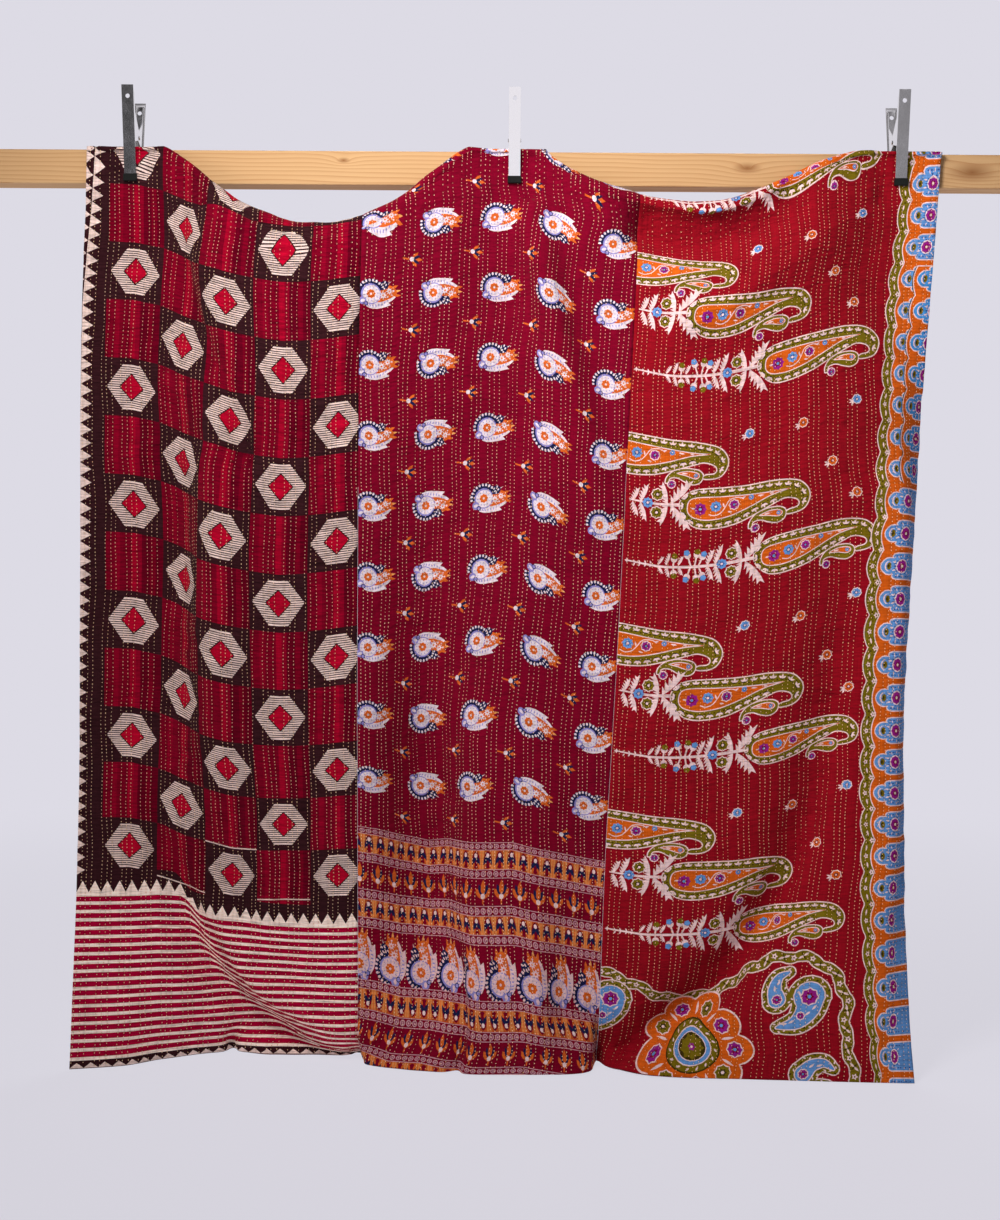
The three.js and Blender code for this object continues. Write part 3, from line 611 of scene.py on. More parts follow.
def left_print():
    u0, u1 = -SPARE, SEAM_LEFT + SPARE
    shapes = []
    for column in range(BLOCK["columns"]):
        u = BLOCK["first"] + BLOCK["across"] * (column + 0.5)
        for row in range(-5, 14):
            chosen = hexagon() if (row + column) % 2 == 0 else red_block()
            shapes += place(chosen, u, BLOCK["row_middle"] + BLOCK["down"] * row)
    shapes.append(("bark", box(u0, ZIGZAG["clear"], u1, STRIPES["top"])))
    for column, v in LOOSE_LINES:
        u = BLOCK["first"] + BLOCK["across"] * column
        shapes.append(("cream", box(u, v - 2.4, u + BLOCK["across"], v)))
    across = np.arange(0, SEAM_LEFT + SPARE, ZIGZAG["pitch"])
    shapes += teeth(np.column_stack([across, np.full_like(across, ZIGZAG["base"])]), ZIGZAG["tall"], "ivory")
    shapes.append(("ivory", box(u0, ZIGZAG["base"], u1, STRIPES["bottom"])))
    pitch = (STRIPES["bottom"] - STRIPES["top"]) / STRIPES["count"]
    for i in range(STRIPES["count"]):
        v = STRIPES["top"] + i * pitch
        shapes.append(("madder", box(u0, v, u1, v + pitch * STRIPES["red_share"])))
    shapes.append(("bark", box(u0, STRIPES["bottom"], u1, CLOTH["drop"] + SPARE)))
    shapes += teeth(np.column_stack([across, np.full_like(across, CLOTH["drop"] - 1)]), 9)
    down = np.arange(-CLOTH["flap"], EDGE_TEETH["end"], EDGE_TEETH["pitch"])
    foot = np.interp(down, list(EDGE_LINE), list(EDGE_LINE.values()))
    shapes += teeth(np.column_stack([foot, down + EDGE_TEETH["pitch"] / 2]), EDGE_TEETH["inner"])
    shapes += teeth(np.column_stack([foot - EDGE_TEETH["outer"], down]), EDGE_TEETH["outer"])
    return shapes


print("left panel shapes:", len(left_print()))

# %% [markdown]
# ## Middle panel: small paisleys and the end piece
# Rows of small curled paisleys cover the maroon length, each with a white flower ring, a feathered crest
# and a dotted navy edge, and a sprig stands between them. The end piece has ruled bands: chains of
# rings, orange arcades, tulips and a row of larger paisleys.

# %% Small paisley and sprig
CREST = [(-33, -17), (-29, -24), (-20, -28), (-8, -30), (4, -29), (14, -27), (22, -25.5), (17, -20),
         (26, -16), (33, -11), (38, -4), (26, -4), (12, -12), (-4, -16), (-18, -15)]
CREST_TICKS = [(-29, -18, -52), (-23, -19, -62), (-17, -20, -74), (-10, -20, -84), (-3, -20, -94),
               (4, -19, -104), (11, -16, -112), (18, -12, -120), (25, -8, -128)]
FAN = [(24, 31, 3), (34, 32, 12), (24, 39, 24), (33, 40, 30)]  # turn, distance out and lean of each petal
TAIL = [(-14, -15), (2, -17), (18, -13), (30, -8), (38, -1), (34, 8), (26, 14), (14, 15), (2, 9), (-4, -4)]
TAIL_TIPS = (("orange", 28, -6, 18, 6, -6), ("amber_light", 30, 1, 17, 5, 4), ("orange", 26, 8, 17, 6, 16))
TAIL_DOTS = ((-2, -12, 2.2), (17, -8, 2.0), (12, 9, 2.0), (31, 3, 2.0), (2, 3, 1.8), (26, -5, 1.6))
FRILL = [(4, 11), (16, 14), (29, 22), (18, 19), (11, 24), (8, 17)]
RING = dict(x=-17.0, y=1.0, radius=21.0)


def around(turn, out):
    """A place so far out from the middle of the flower ring."""
    return RING["x"] + out * math.cos(math.radians(turn)), RING["y"] + out * math.sin(math.radians(turn))


def paisley(pale="white"):
    x, y = RING["x"], RING["y"]
    motif = [(pale, np.array(CREST, float))]
    motif += [("lavender", leaf(cx, cy, 6.5, 2.6, turn)) for cx, cy, turn in CREST_TICKS]
    tail = loop(TAIL, 3)
    motif += [(dye, leaf(*spot)) for dye, *spot in TAIL_TIPS]
    motif += [("tangerine", tail), ("orange", inset(tail, 1.6)), (pale, np.array(FRILL, float))]
    motif.append(("navy", ribbon([around(turn, 25) for turn in np.linspace(186, 22, 14)], 5.4)))
    fan = [around(16, 20), around(12, 36), around(26, 44), around(40, 36), around(42, 22)]
    motif.append(("navy", loop(fan, 2)))
    motif += [(pale, disc(*around(turn, 27.8), 3.2, 0.75, turn, 6)) for turn in np.linspace(180, 44, 10)]
    motif += [(pale, disc(*around(turn, out - 2), 3.0, 0.55, turn + lean, 6)) for turn, out, lean in FAN]
    motif.append(("lavender", disc(x, y, RING["radius"], sides=16)))
    motif.append((pale, disc(x + 0.6, y - 0.6, 18.2, sides=16)))
    motif += [("lavender", leaf(*around(turn, 11.5), 5, 1.5, turn)) for turn in np.arange(0, 360, 30)]
    motif += [("tangerine", flower(x, y, 9.8, 8, 0.2, 2)), ("orange", disc(x, y, 6.4, sides=8))]
    motif += [(pale, disc(x, y, 2.5, sides=6)), ("lavender", disc(-36, -11, 8.2, sides=10))]
    motif += [("navy", disc(-30, -17, 5.0, sides=8)), ("lavender", disc(-30, -17, 3.4, sides=8))]
    motif += [(pale, disc(-36, -11, 5.2, 0.6, 15, 8)), (pale, flower(8, -4, 9.0, 8, 0.5, 2))]
    motif += [("orange", disc(8, -4, 2.2, sides=6)), (pale, flower(22, 3, 7.6, 8, 0.5, 2))]
    motif.append(("tangerine", disc(22, 3, 1.9, sides=5)))
    return motif + [(pale, disc(*dot, sides=5)) for dot in TAIL_DOTS]


SPRIG_PETALS = (("orange", 17, 8, -46), ("orange", 21, 8, 6), ("orange", 17, 8, 62), ("navy", 18, 6, -20),
                ("navy", 18, 6, 34))


def sprig():
    motif = [("orange", ribbon(smooth_line([(-18, -3), (-9, -1), (0, 0)], steps=2), 1.4))]
    motif += [(dye, leaf(1, 0, length, width, turn)) for dye, length, width, turn in SPRIG_PETALS]
    return motif + [("white", disc(0, 0, 4.6, sides=8))]


# %% Bands of the end piece
BANDS_TOP = 1268.0
BANDS = (("chain", 15), ("arcade", 35), ("chain", 17), ("tulips", 50), ("chain", 19), ("arcade", 33),
         ("chain", 19), ("paisleys", 97), ("chain", 17), ("arcade_down", 37), ("chain", 18), ("tulips", 43),
         ("chain", 14), ("arcade_down", 60))
BAND_FROM, BAND_TO = SEAM_LEFT - 10, SEAM_RIGHT + 10
TULIP = (("orange", -1, 10, 24, 13, -130), ("orange", 1, 10, 24, 13, -50), ("navy", -1, 6, 25, 10, -112),
         ("navy", 1, 6, 25, 10, -68), ("orange", 0, 5, 31, 11, -90))
TULIP_ROW = dict(pitch=38.0, tall=53.0)  # spacing across, and the height at which a tulip is drawn
PAISLEY_ROW = dict(pitch=66.0, tall=90.0, turn=-84)
CHAIN = dict(pitch=13.0, across=5.6, rule=1.5, clear=3.0)
ARCADE = dict(pitch=24.5, tallest=36.0)
ARCADE_RULES = (("tangerine", -12.2, 0.9), ("amber_light", -10.6, 0.8), ("amber_light", -8.4, 0.7),
                ("amber_light", 8.4, 0.7), ("amber_light", 10.6, 0.8))


def chain_band(v, tall):
    rule, wide = CHAIN["rule"], CHAIN["across"]
    shapes = [("lilac", box(BAND_FROM, v, BAND_TO, v + tall))]
    shapes.append(("maroon", box(BAND_FROM, v + rule, BAND_TO, v + tall - rule)))
    squash = (tall / 2 - CHAIN["clear"]) / wide
    for u in np.arange(BAND_FROM + 6, BAND_TO, CHAIN["pitch"]):
        for dye, share in (("lilac", 1.0), ("maroon", 0.6), ("lilac", 0.38)):
            shapes.append((dye, disc(u, v + tall / 2, wide * share, squash)))
    return shapes


def arcade_band(v, tall, down=False):
    shapes = [("amber", box(BAND_FROM, v, BAND_TO, v + tall))]
    tall = min(tall, ARCADE["tallest"])
    motif = [(dye, box(x - half, -tall / 2, x + half, tall / 2)) for dye, x, half in ARCADE_RULES]
    figure = [(-7.4, 10), (-8, -5), (0, -tall / 2 + 1), (8, -5), (7.4, 10), (0, tall / 2 - 1)]
    motif.append(("maroon", loop(figure, 3)))
    motif += [("navy", leaf(0, -7, 19, 7.5, turn)) for turn in (62, 118)]
    motif += [("orange", leaf(x, 5, 11, 4.5, turn)) for x, turn in ((-4, 105), (4, 75))]
    motif.append(("blush", disc(0, -8, 3.4, 1.3, 0, 7)))
    for u in np.arange(BAND_FROM + 8, BAND_TO, ARCADE["pitch"]):
        shapes += place(motif, u, v + tall / 2, flip=down)
    return shapes


def tulip_band(v, tall):
    motif = [("orange", box(-1.6, 12, 1.6, 22))]
    motif += [(dye, leaf(x, y, length, width, turn)) for dye, x, y, length, width, turn in TULIP]
    motif.append(("orange", loop([(-13, -3), (-9, 8), (0, 13), (9, 8), (13, -3), (5, 4), (-5, 4)], 3)))
    motif.append(("blush", disc(0, 7, 5, 1.1, sides=8)))
    shapes = []
    for u in np.arange(SEAM_LEFT + 4, SEAM_RIGHT + 20, TULIP_ROW["pitch"]):
        shapes += place(motif, u, v + tall / 2 + 1, size=tall / TULIP_ROW["tall"])
    return shapes


def paisley_band(v, tall):
    shapes, size = [], tall / PAISLEY_ROW["tall"]
    for u in np.arange(SEAM_LEFT + 6, SEAM_RIGHT + 30, PAISLEY_ROW["pitch"]):
        shapes += place(paisley("rose"), u, v + tall / 2 + 2, turn=PAISLEY_ROW["turn"], size=size, flip=True)
    return shapes


# %% Middle panel
PAISLEYS = dict(first_across=589.0, across=122.0, columns=5, first_down=96.0, down=133.5, rows=9,
                tilt=8, size=0.93)


def middle_print():
    shapes = []
    for column in range(PAISLEYS["columns"]):
        u = PAISLEYS["first_across"] + PAISLEYS["across"] * column
        flip = column % 2 == 0
        tilt = -PAISLEYS["tilt"] if flip else PAISLEYS["tilt"]
        for row in range(-4, PAISLEYS["rows"]):
            v = PAISLEYS["first_down"] + PAISLEYS["down"] * row
            shapes += place(paisley(), u, v, turn=tilt, size=PAISLEYS["size"], flip=flip)
            if column < PAISLEYS["columns"] - 1:
                shapes += place(sprig(), u + PAISLEYS["across"] / 2 + 3, v + PAISLEYS["down"] / 2)
    v = BANDS_TOP
    for kind, tall in BANDS:
        if kind == "chain":
            shapes += chain_band(v, tall)
        elif kind == "tulips":
            shapes += tulip_band(v, tall)
        elif kind == "paisleys":
            shapes += paisley_band(v, tall)
        else:
            shapes += arcade_band(v, tall, kind == "arcade_down")
        v += tall
    return shapes


print("middle panel shapes:", len(middle_print()))

# %% [markdown]
# ## Right panel: long paisleys, border and corner
# The right length lies sideways: long paisleys grow on leafy stems from the seam towards the edge, in
# three kinds that repeat down the cloth, with single flowers between them. A border of blue arches and
# an olive vine runs down the edge, and a vine, a round medallion and blue paisleys fill the foot.

# %% Long paisley
BODY = [(0, 0), (9.6, -19), (33.6, -31), (82, -33), (130, -32.5), (178, -34), (221, -28), (241, -13),
        (247, 5), (240, 24), (226, 33), (204, 35.5), (199, 30), (206, 24.5), (220, 22), (224, 16), (218, 9),
        (199, 5), (178, 12), (144, 26), (106, 40), (62, 46), (31, 42), (9.6, 24)]
HEART = [(15.6, 5), (20, -10), (38, -16), (82, -16), (130, -14.5), (173, -13.5), (210, -13), (173, -5),
         (130, 12), (94, 24), (58, 29), (31, 25), (19, 17)]
BAND = [(185, 2), (144, 15), (106, 31), (62, 37.5), (30, 33), (11, 18), (7.5, 1), (14, -16), (36, -24),
        (82, -25), (130, -24), (178, -24), (214, -19), (232, -5), (235, 9), (229, 22)]
CALF = [(202, 26), (190, 17), (165, 16.5), (144, 24), (132, 38), (131, 51), (139, 50), (141, 41), (154, 39),
        (168, 44.5), (185, 48), (199, 41)]
CALF_HEART = [(150, 29), (170, 22), (189, 23), (195, 30), (187, 36), (168, 32)]
TENDRIL = [(57, 17), (68, 20), (80, 15), (88, 4), (96, -8), (112, -11), (122, -7)]
HEART_LEAVES = [(86, 6, 10, -110), (92, 14, 9, 10), (118, -8, 8, -20), (148, -9, 12, 2), (24, 6, 8, 0),
                (170, -10, 9, 4), (160, 28, 12, -5)]
EYES = dict(sky="slate", olive="olive_dark", purple="maroon", tangerine="maroon")


def blossom(x, y, radius, dye, ring=None):
    shapes = [(ring, flower(x, y, radius + 1.6, 8, 0.12, 2))] if ring else []
    shapes += [(dye, flower(x, y, radius, 8, 0.22)), (EYES[dye], flower(x, y, radius * 0.55, 6, 0.4, 2))]
    return shapes + [("sky" if dye == "purple" else "blush", disc(x, y, radius * 0.24, sides=6))]


def floret(size=1.0):
    return [("blush", leaf(0, 0, 6.5 * size, 3.2 * size, turn)) for turn in (-150, -90, -30)]


def long_paisley():
    body, calf, heart, calf_heart = loop(BODY), loop(CALF), loop(HEART), loop(CALF_HEART)
    motif = [("blush", body), ("blush", calf), ("olive", inset(body, 2.3)), ("olive", inset(calf, 2.1))]
    motif += [("blush", heart), ("tangerine", inset(heart, 1.9))]
    motif += [("blush", calf_heart), ("tangerine", inset(calf_heart, 1.7))]
    for x, y, turn in evenly(smooth_line(BAND), 17.5):
        c, s = math.cos(math.radians(turn)), math.sin(math.radians(turn))
        for out in (-4, 4):
            dot = disc(x - 8.7 * c - out * s, y - 8.7 * s + out * c, 2.0, 0.7, turn, 6)
            motif.append(("olive_dark", dot))
        motif.append(("olive_dark", disc(x - 2 * s, y + 2 * c, 4.6, 0.5, turn, 6)))
        motif += place(floret(1.25), x - 1.5 * s, y + 1.5 * c, turn=turn)
    motif += blossom(41, 7, 12.5, "purple") + blossom(70, 3, 11, "sky")
    motif += blossom(104, 2, 9, "purple", "blush") + blossom(136, -8, 5.5, "sky")
    motif.append(("blush", ribbon(smooth_line(TENDRIL, steps=3), 0.9)))
    motif += [("blush", leaf(x, y, length, 3.2, turn)) for x, y, length, turn in HEART_LEAVES]
    motif += blossom(187, 29, 4.2, "sky") + [("blush", disc(144, 51, 8.6, sides=10))]
    return motif + blossom(144.5, 51, 7.2, "purple")


# %% Leafy stems and single flowers
FROND_TEETH = 6
SHORT_FRONDS = [(-14, 62, 15, -50), (-20, 44, 12, -106), (-70, 38, 10, -71), (-85, 30, 9, -68)]
LONG_FRONDS = [  # foot along the stem, length, width and lean
    (-14, 62, 15, -52), (-20, 44, 12, -106), (-70, 41, 10, -71), (-85, 33, 9, -68), (-139, 21, 6, -65),
    (-162, 25, 6.5, -73), (-177, 20, 5.5, -58)]
LONG_BUDS = [(-102, "sky", 25, -66), (-109, "olive", 28, -80), (-116, "sky", 27, -108),
             (-149, "olive", 19, -84)]


def frond(x, y, length, width, turn):
    """A leaf with barbs along its outer side."""
    outline = [(0, 0)]
    for i in range(1, FROND_TEETH):
        bulge = width * math.sin(math.pi * (0.2 + 0.62 * i / FROND_TEETH))
        outline += [(length * (i + 0.2) / FROND_TEETH, -bulge), (length * i / FROND_TEETH, -bulge * 0.3)]
    outline.append((length, 0))
    outline += [(length * t, width * 0.32 * math.sin(math.pi * t)) for t in (0.75, 0.5, 0.25)]
    return turned(outline, turn, x, y)


def frond_pair(x, y, length, width, turn):
    shape = frond(x, 0, length, width, turn)
    return [("blush", shape + (0, y)), ("blush", shape * (1, -1) + (0, y))]


def tapered(path):
    line = smooth_line(path, steps=3)
    return ribbon(line, np.linspace(3.2, 1.3, len(line))[:, None])


def short_stem():
    motif = [("blush", tapered([(4, 0), (-40, 1), (-92, -3)]))]
    for x, length, width, turn in SHORT_FRONDS:
        motif += frond_pair(x, 0, length, width, turn)
    motif += blossom(-40, -17, 11, "olive", "blush") + blossom(-40, 17, 11, "olive", "blush")
    return motif + blossom(-57, 0, 10.5, "sky")


def long_stem():
    path = [(4, 0), (-80, 4), (-160, 6), (-200, 2), (-236, -3)]
    motif = [("blush", tapered(path))]
    for x, length, width, turn in LONG_FRONDS:
        motif += frond_pair(x, 3, length, width, turn)
    for x, dye, reach, lean in LONG_BUDS:
        for turn in (lean, -lean):
            c, s = math.cos(math.radians(turn)), math.sin(math.radians(turn))
            tip = (x + reach * c, 4 + reach * s)
            motif.append(("blush", ribbon([(x, 4), tip], 1.5)))
            foot = (tip[0] - 12 * c, tip[1] - 12 * s)
            motif += [("blush", leaf(*foot, 11, 5, turn + side)) for side in (-36, 36)]
            motif.append((dye, flower(*tip, 6.4, 5, 0.25)))
    motif += blossom(-40, -15, 11, "olive", "blush") + blossom(-40, 20, 11, "olive", "blush")
    motif += blossom(-58, 3, 10.5, "sky")
    for x in (-190, -200, -211, -221):
        motif += [("blush", leaf(x, 1, 7, 3.2, turn)) for turn in (-115, 115)]
    return motif + [("blush", flower(-236, -3, 5, 4, 0.6))]


def single_flower(dye):
    motif = [("blush", flower(0, 0, 10, 8, 0.14))] + blossom(0, 0, 8.6, dye)
    return motif + [("blush", leaf(-6, 5, 10, 3.4, turn)) for turn in (110, 150, 190)]


# %% Border of arches along the edge
BORDER = dict(pitch=60.76, first=4.5, bow=106.0, flower=25.0, foot=-75.0)
BORDER_AT = {  # down the cloth: where the outer bow of the vine and the flowers of the arches lie across it
    -450: (1620, 1685), 130: (1620, 1685), 440: (1600, 1665), 800: (1565, 1630), 1200: (1570, 1635),
    1600: (1605, 1660), 1750: (1625, 1665)}
ARCH = [(BORDER["foot"], 25.5), (38, 25.5), (46, 23.5), (49.5, 19), (48, 16), (54, 17.2), (62, 16),
        (69, 11.5), (73.5, 6), (75, 0)]
ARCH_INNER = [(BORDER["foot"], 23.3), (37, 23.3), (44.5, 21.5), (47, 18), (44.5, 14.5), (54, 15), (61, 14),
              (67, 10), (71.5, 5), (73, 0)]


def both_sides(half):
    lower = np.array(half, float)
    return np.vstack([lower, (lower[:-1] * (1, -1))[::-1]])


def arch():
    """One repeat of the border: x runs in from the quilt's edge."""
    motif = [("blush", both_sides(ARCH)), ("sky", both_sides(ARCH_INNER))]
    dots = (-40, -25, -10, 6, 14, 22, 30, 38)
    motif += [("slate", disc(x, y, 3, 0.4, 0, 6)) for y in (-19, 19) for x in dots]
    for a in range(20, 360, 40):
        c, s = math.cos(math.radians(a)), math.sin(math.radians(a))
        motif.append(("blush", leaf(25 + 15.5 * c, 16.5 * s, 6, 2.4, a)))
        c, s = math.cos(math.radians(a + 20)), math.sin(math.radians(a + 20))
        motif.append(("slate", disc(25 + 14.8 * c, 14.8 * s, 2.1, 0.6, 0, 6)))
    motif += [("blush", disc(25, 0, 13.6, sides=12)), ("purple", flower(25, 0, 12.2, 8, 0.16))]
    motif += [("maroon", flower(25, 0, 6.5, 6, 0.4, 2)), ("cream", disc(25, 0, 3, sides=6))]
    motif += [("blush", disc(56, 0, 9.0, 1.1, 0, 10)), ("sky", disc(53.5, 0, 8.4, 1.1, 0, 10))]
    motif += [("olive", disc(54.5, 0, 5.4, 1.35, 0, 8)), ("olive_dark", disc(56, 0, 2.6, 1.5, 0, 6))]
    motif += [("slate", leaf(44, y, 7, 2.2, 180)) for y in (-5, 0, 5)]
    return motif + [("blush", leaf(48, y, 9, 2.4, 180)) for y in (-8, 8)]


def scalloped_strip(dye, near, far, top=-480.0, bottom=1780.0):
    """A strip from the edge to a line that bows out at each arch."""
    down = np.arange(top, bottom + 1, 5.0)
    bow = np.abs(np.cos(math.pi * (down - BORDER["first"]) / BORDER["pitch"])) ** 0.75
    line = np.column_stack([near + (far - near) * bow, down])
    return dye, np.vstack([line, [(BORDER["foot"], down[-1]), (BORDER["foot"], down[0])]])


def border():
    strips = (("blush", 95, 106), ("olive", 92.5, 103.5), ("blush", 72, 83), ("tangerine", 69.5, 80.5))
    shapes = [scalloped_strip(*strip) for strip in strips]
    for k in range(-8, 30):
        v = BORDER["first"] + BORDER["pitch"] * k
        shapes += place(arch(), 0, v)
        for x, y, size in ((92.5, v, 5.6), (79, v + BORDER["pitch"] / 2, 6.2)):
            shapes += [("blush", flower(x, y, size, 5, 0.45, 2)), ("olive_dark", disc(x, y, 1.6, sides=5))]
        for side in (-1, 1):
            shapes.append(("blush", leaf(90, v + side * 16 - 5, 12, 4, 90 + side * 15)))
            shapes.append(("olive_dark", disc(88, v + side * 25, 2, sides=5)))
    return shapes


def edge_patch():
    """A strip of the same border sewn over the edge as a mend, so that a second row of arches shows."""
    strips = (("olive_dark", 37, 48), ("blush", 35, 46), ("tangerine", 32.5, 43.5))
    shapes = [scalloped_strip(*strip, top=224.0, bottom=640.0) for strip in strips]
    for k in range(4, 11):
        row = place(arch(), -38, BORDER["first"] + BORDER["pitch"] * k)
        shapes += [("azure" if dye == "sky" else dye, outline) for dye, outline in row]
    return shapes


def on_the_edge(shapes):
    """Measures in from the quilt's edge, turned into places across the cloth."""
    downs, placed = list(BORDER_AT), []
    bows, flowers = np.array(list(BORDER_AT.values()), float).T
    for dye, outline in shapes:
        x, down = outline.T
        bow, middle = np.interp(down, downs, bows), np.interp(down, downs, flowers)
        share = (x - BORDER["flower"]) / (BORDER["bow"] - BORDER["flower"])
        placed.append((dye, np.column_stack([middle + (bow - middle) * share, down])))
    return placed


# %% Corner vine, medallion and blue paisleys
VINE = [(1090, 1545), (1160, 1575), (1240, 1612), (1320, 1605), (1400, 1555), (1465, 1530), (1535, 1545),
        (1575, 1600), (1580, 1680), (1600, 1765)]
VINE_SWAY = dict(size=3.5, length=58.0)  # how far it swings to each side, and how often
MEDALLION = dict(u=1308.0, v=1698.0, radius=112.0, lobes=9, squash=0.86)
DROPS = [  # head, two places on the way and tip of each drop; half width of its edge and of its heart
    (((-33, -2), (-39, -22), (-33, -42), (-16, -52)), 24.0, 14.0),
    (((22, -8), (20, 16), (2, 38), (-30, 48)), 37.0, 26.0),
]


def vine():
    line = smooth_line(VINE, steps=14)
    along = np.concatenate([[0], np.cumsum(np.linalg.norm(np.diff(line, axis=0), axis=1))])
    run = np.gradient(line, along, axis=0)
    sway = VINE_SWAY["size"] * np.sin(2 * math.pi * along / VINE_SWAY["length"])
    line = line + np.column_stack([-run[:, 1], run[:, 0]]) * sway[:, None]
    scallop = 2.0 * np.abs(np.sin(math.pi * along / 24))[:, None]
    shapes = [("blush", ribbon(line, 9.2 + scallop)), ("olive", ribbon(line, 7.0 + scallop))]
    for i, (x, y, turn) in enumerate(evenly(line, 17.0)):
        if i % 2:
            shapes += [("blush", flower(x, y, 6.0, 5, 0.45, 2)), ("olive_dark", disc(x, y, 1.7, sides=5))]
        else:
            shapes += [("blush", leaf(x, y, 11, 4, turn + side)) for side in (-30, 150)]
            shapes += [("olive_dark", leaf(x, y, 8, 2.6, turn + side)) for side in (60, 240)]
    return shapes


def medallion():
    lobes, squash = MEDALLION["lobes"], MEDALLION["squash"]
    a = np.arange(lobes * 10) * 2 * math.pi / (lobes * 10)
    r = MEDALLION["radius"] * (0.84 + 0.16 * np.abs(np.cos(lobes * a / 2)) ** 0.7)
    outer = np.column_stack([r * np.cos(a), r * squash * np.sin(a)])
    motif = [("blush", outer), ("tangerine", inset(outer, 3.0))]
    for i in range(lobes):
        turn = 2 * math.pi * i / lobes
        dye = "olive" if i % 2 else "purple"
        motif += blossom(77 * math.cos(turn), 65 * math.sin(turn), 14, dye, "blush")
        between = turn + 0.35
        foot = (58 * math.cos(between), 50 * math.sin(between))
        motif.append(("blush", leaf(*foot, 26, 5, math.degrees(turn + 0.5))))
    motif += [("olive_dark", disc(0, 0, 51, 0.9, sides=24)), ("olive", disc(0, 0, 48, 0.9, sides=24))]
    for turn in np.arange(0, 360, 22.5):
        c, s = math.cos(math.radians(turn)), math.sin(math.radians(turn))
        motif.append(("blush", leaf(40 * c, 36 * s, 8, 3.6, turn + 50)))
    for dye, radius in (("blush", 36), ("sky", 34), ("blush", 27), ("olive_dark", 25.5)):
        motif.append((dye, disc(0, 0, radius, 0.92, sides=20)))
    motif += [("olive", flower(0, 0, 23, 9, 0.25)), ("purple", flower(0, 0, 7.5, 6, 0.3, 2))]
    return place(motif + [("blush", disc(0, 0, 2.5, sides=6))], MEDALLION["u"], MEDALLION["v"])


def drop(line, half, tip=1.5, steps=9):
    """A fat comma: a round head at the start of a line, and a tail that thins along it to a round tip."""
    line = smooth_line(line, steps=steps)
    run = np.gradient(line, axis=0)
    run /= np.linalg.norm(run, axis=1)[:, None]
    side = np.column_stack([-run[:, 1], run[:, 0]])
    wide = (tip + (half - tip) * np.linspace(1, 0, len(line)) ** 0.85)[:, None]
    turn = np.linspace(math.pi, 0, 9)[1:-1, None]
    head = line[0] + half * (np.cos(turn) * side[0] - np.sin(turn) * run[0])
    end = line[-1] + tip * (np.cos(turn[::-1]) * side[-1] + np.sin(turn[::-1]) * run[-1])
    return np.vstack([line + side * wide, end, (line - side * wide)[::-1], head])


def double_paisley():
    """Two blue drops, head to tail, in one olive edge."""
    motif = [("blush", drop(line, edge + 2.2, 11.7)) for line, edge, _ in DROPS]
    motif += [("olive", drop(line, edge, 9.5)) for line, edge, _ in DROPS]
    for line, edge, heart in DROPS:
        rim = drop(line, (edge + heart) / 2 + 1, 6.0)
        for i, (x, y, turn) in enumerate(evenly(rim, 9.0)):
            dye = "olive_dark" if i % 3 == 2 else "blush"
            motif.append((dye, leaf(x, y, 6, 3, turn + (40 if i % 2 else -40))))
        motif += [("blush", drop(line, heart + 2, 3.4)), ("sky", drop(line, heart))]
    motif += blossom(22, -8, 15, "purple", "blush") + blossom(-33, -2, 8.5, "purple", "blush")
    motif += blossom(10, 26, 6.5, "purple", "blush")
    leaves = ((2, -18, 60), (36, 6, 130), (26, 18, 140), (0, 34, 150), (-12, 40, 170),
              (-38, -16, -100), (-34, -28, -80))
    return motif + [("blush", leaf(x, y, 12, 4, turn)) for x, y, turn in leaves]


# %% Right panel
TALL_SIZES = {0: 0.99, 1: 0.94, 2: 0.87, 3: 0.87}  # the cloth is drawn in more towards its foot
LONG = dict(pitch=361.0, cut=(1061.0, 170.0, 7.0), short=(1212.0, 277.0, 2.0), tall=(1352.0, 389.0, -5.0))
FLOWERS = dict(first=482.0, pitch=361.0, end=1480.0, places=((1550, 0, "sky"), (1446, 32, "tangerine"),
               (1343, 32, "sky"), (1502, 112, "tangerine"), (1545, 174, "tangerine")))


def right_print():
    shapes = []
    for k in range(-2, 4):
        v = LONG["pitch"] * k
        (u0, v0, turn0), (u1, v1, turn1), (u2, v2, turn2) = LONG["cut"], LONG["short"], LONG["tall"]
        shapes += place(long_paisley(), u0, v0 + v, turn0)
        shapes += place(short_stem(), u1, v1 + v, turn1) + place(long_paisley(), u1, v1 + v, turn1)
        shapes += place(long_stem(), u2, v2 + v, 0, 0.98)
        shapes += place(long_paisley(), u2, v2 + v, turn2, TALL_SIZES.get(k, 0.93))
    for k in range(-3, 5):
        for u, dv, dye in FLOWERS["places"]:
            v = FLOWERS["first"] + FLOWERS["pitch"] * k + dv
            if v < FLOWERS["end"]:
                shapes += place(single_flower(dye), u, v, turn=10)
    shapes += vine() + medallion()
    for u, v, turn in ((1492, 1610, 0), (1108, 1618, 0), (1520, 1768, 60)):
        shapes += place(double_paisley(), u, v, turn)
    return shapes + on_the_edge(border()) + on_the_edge(edge_patch())


print("right panel shapes:", len(right_print()))

# %% [markdown]
# ## Cutting the printed sheet
# A picture wrapped on the cloth would blur up close, so the print is in the mesh itself: a triangulation
# that keeps every outline of the print as an edge, with a net of extra points that follow the folds.
# Each triangle takes the dye of the last shape printed over it. The reverse is a coarser sheet on the
# same edge, and a rim closes the two into one thin cloth.

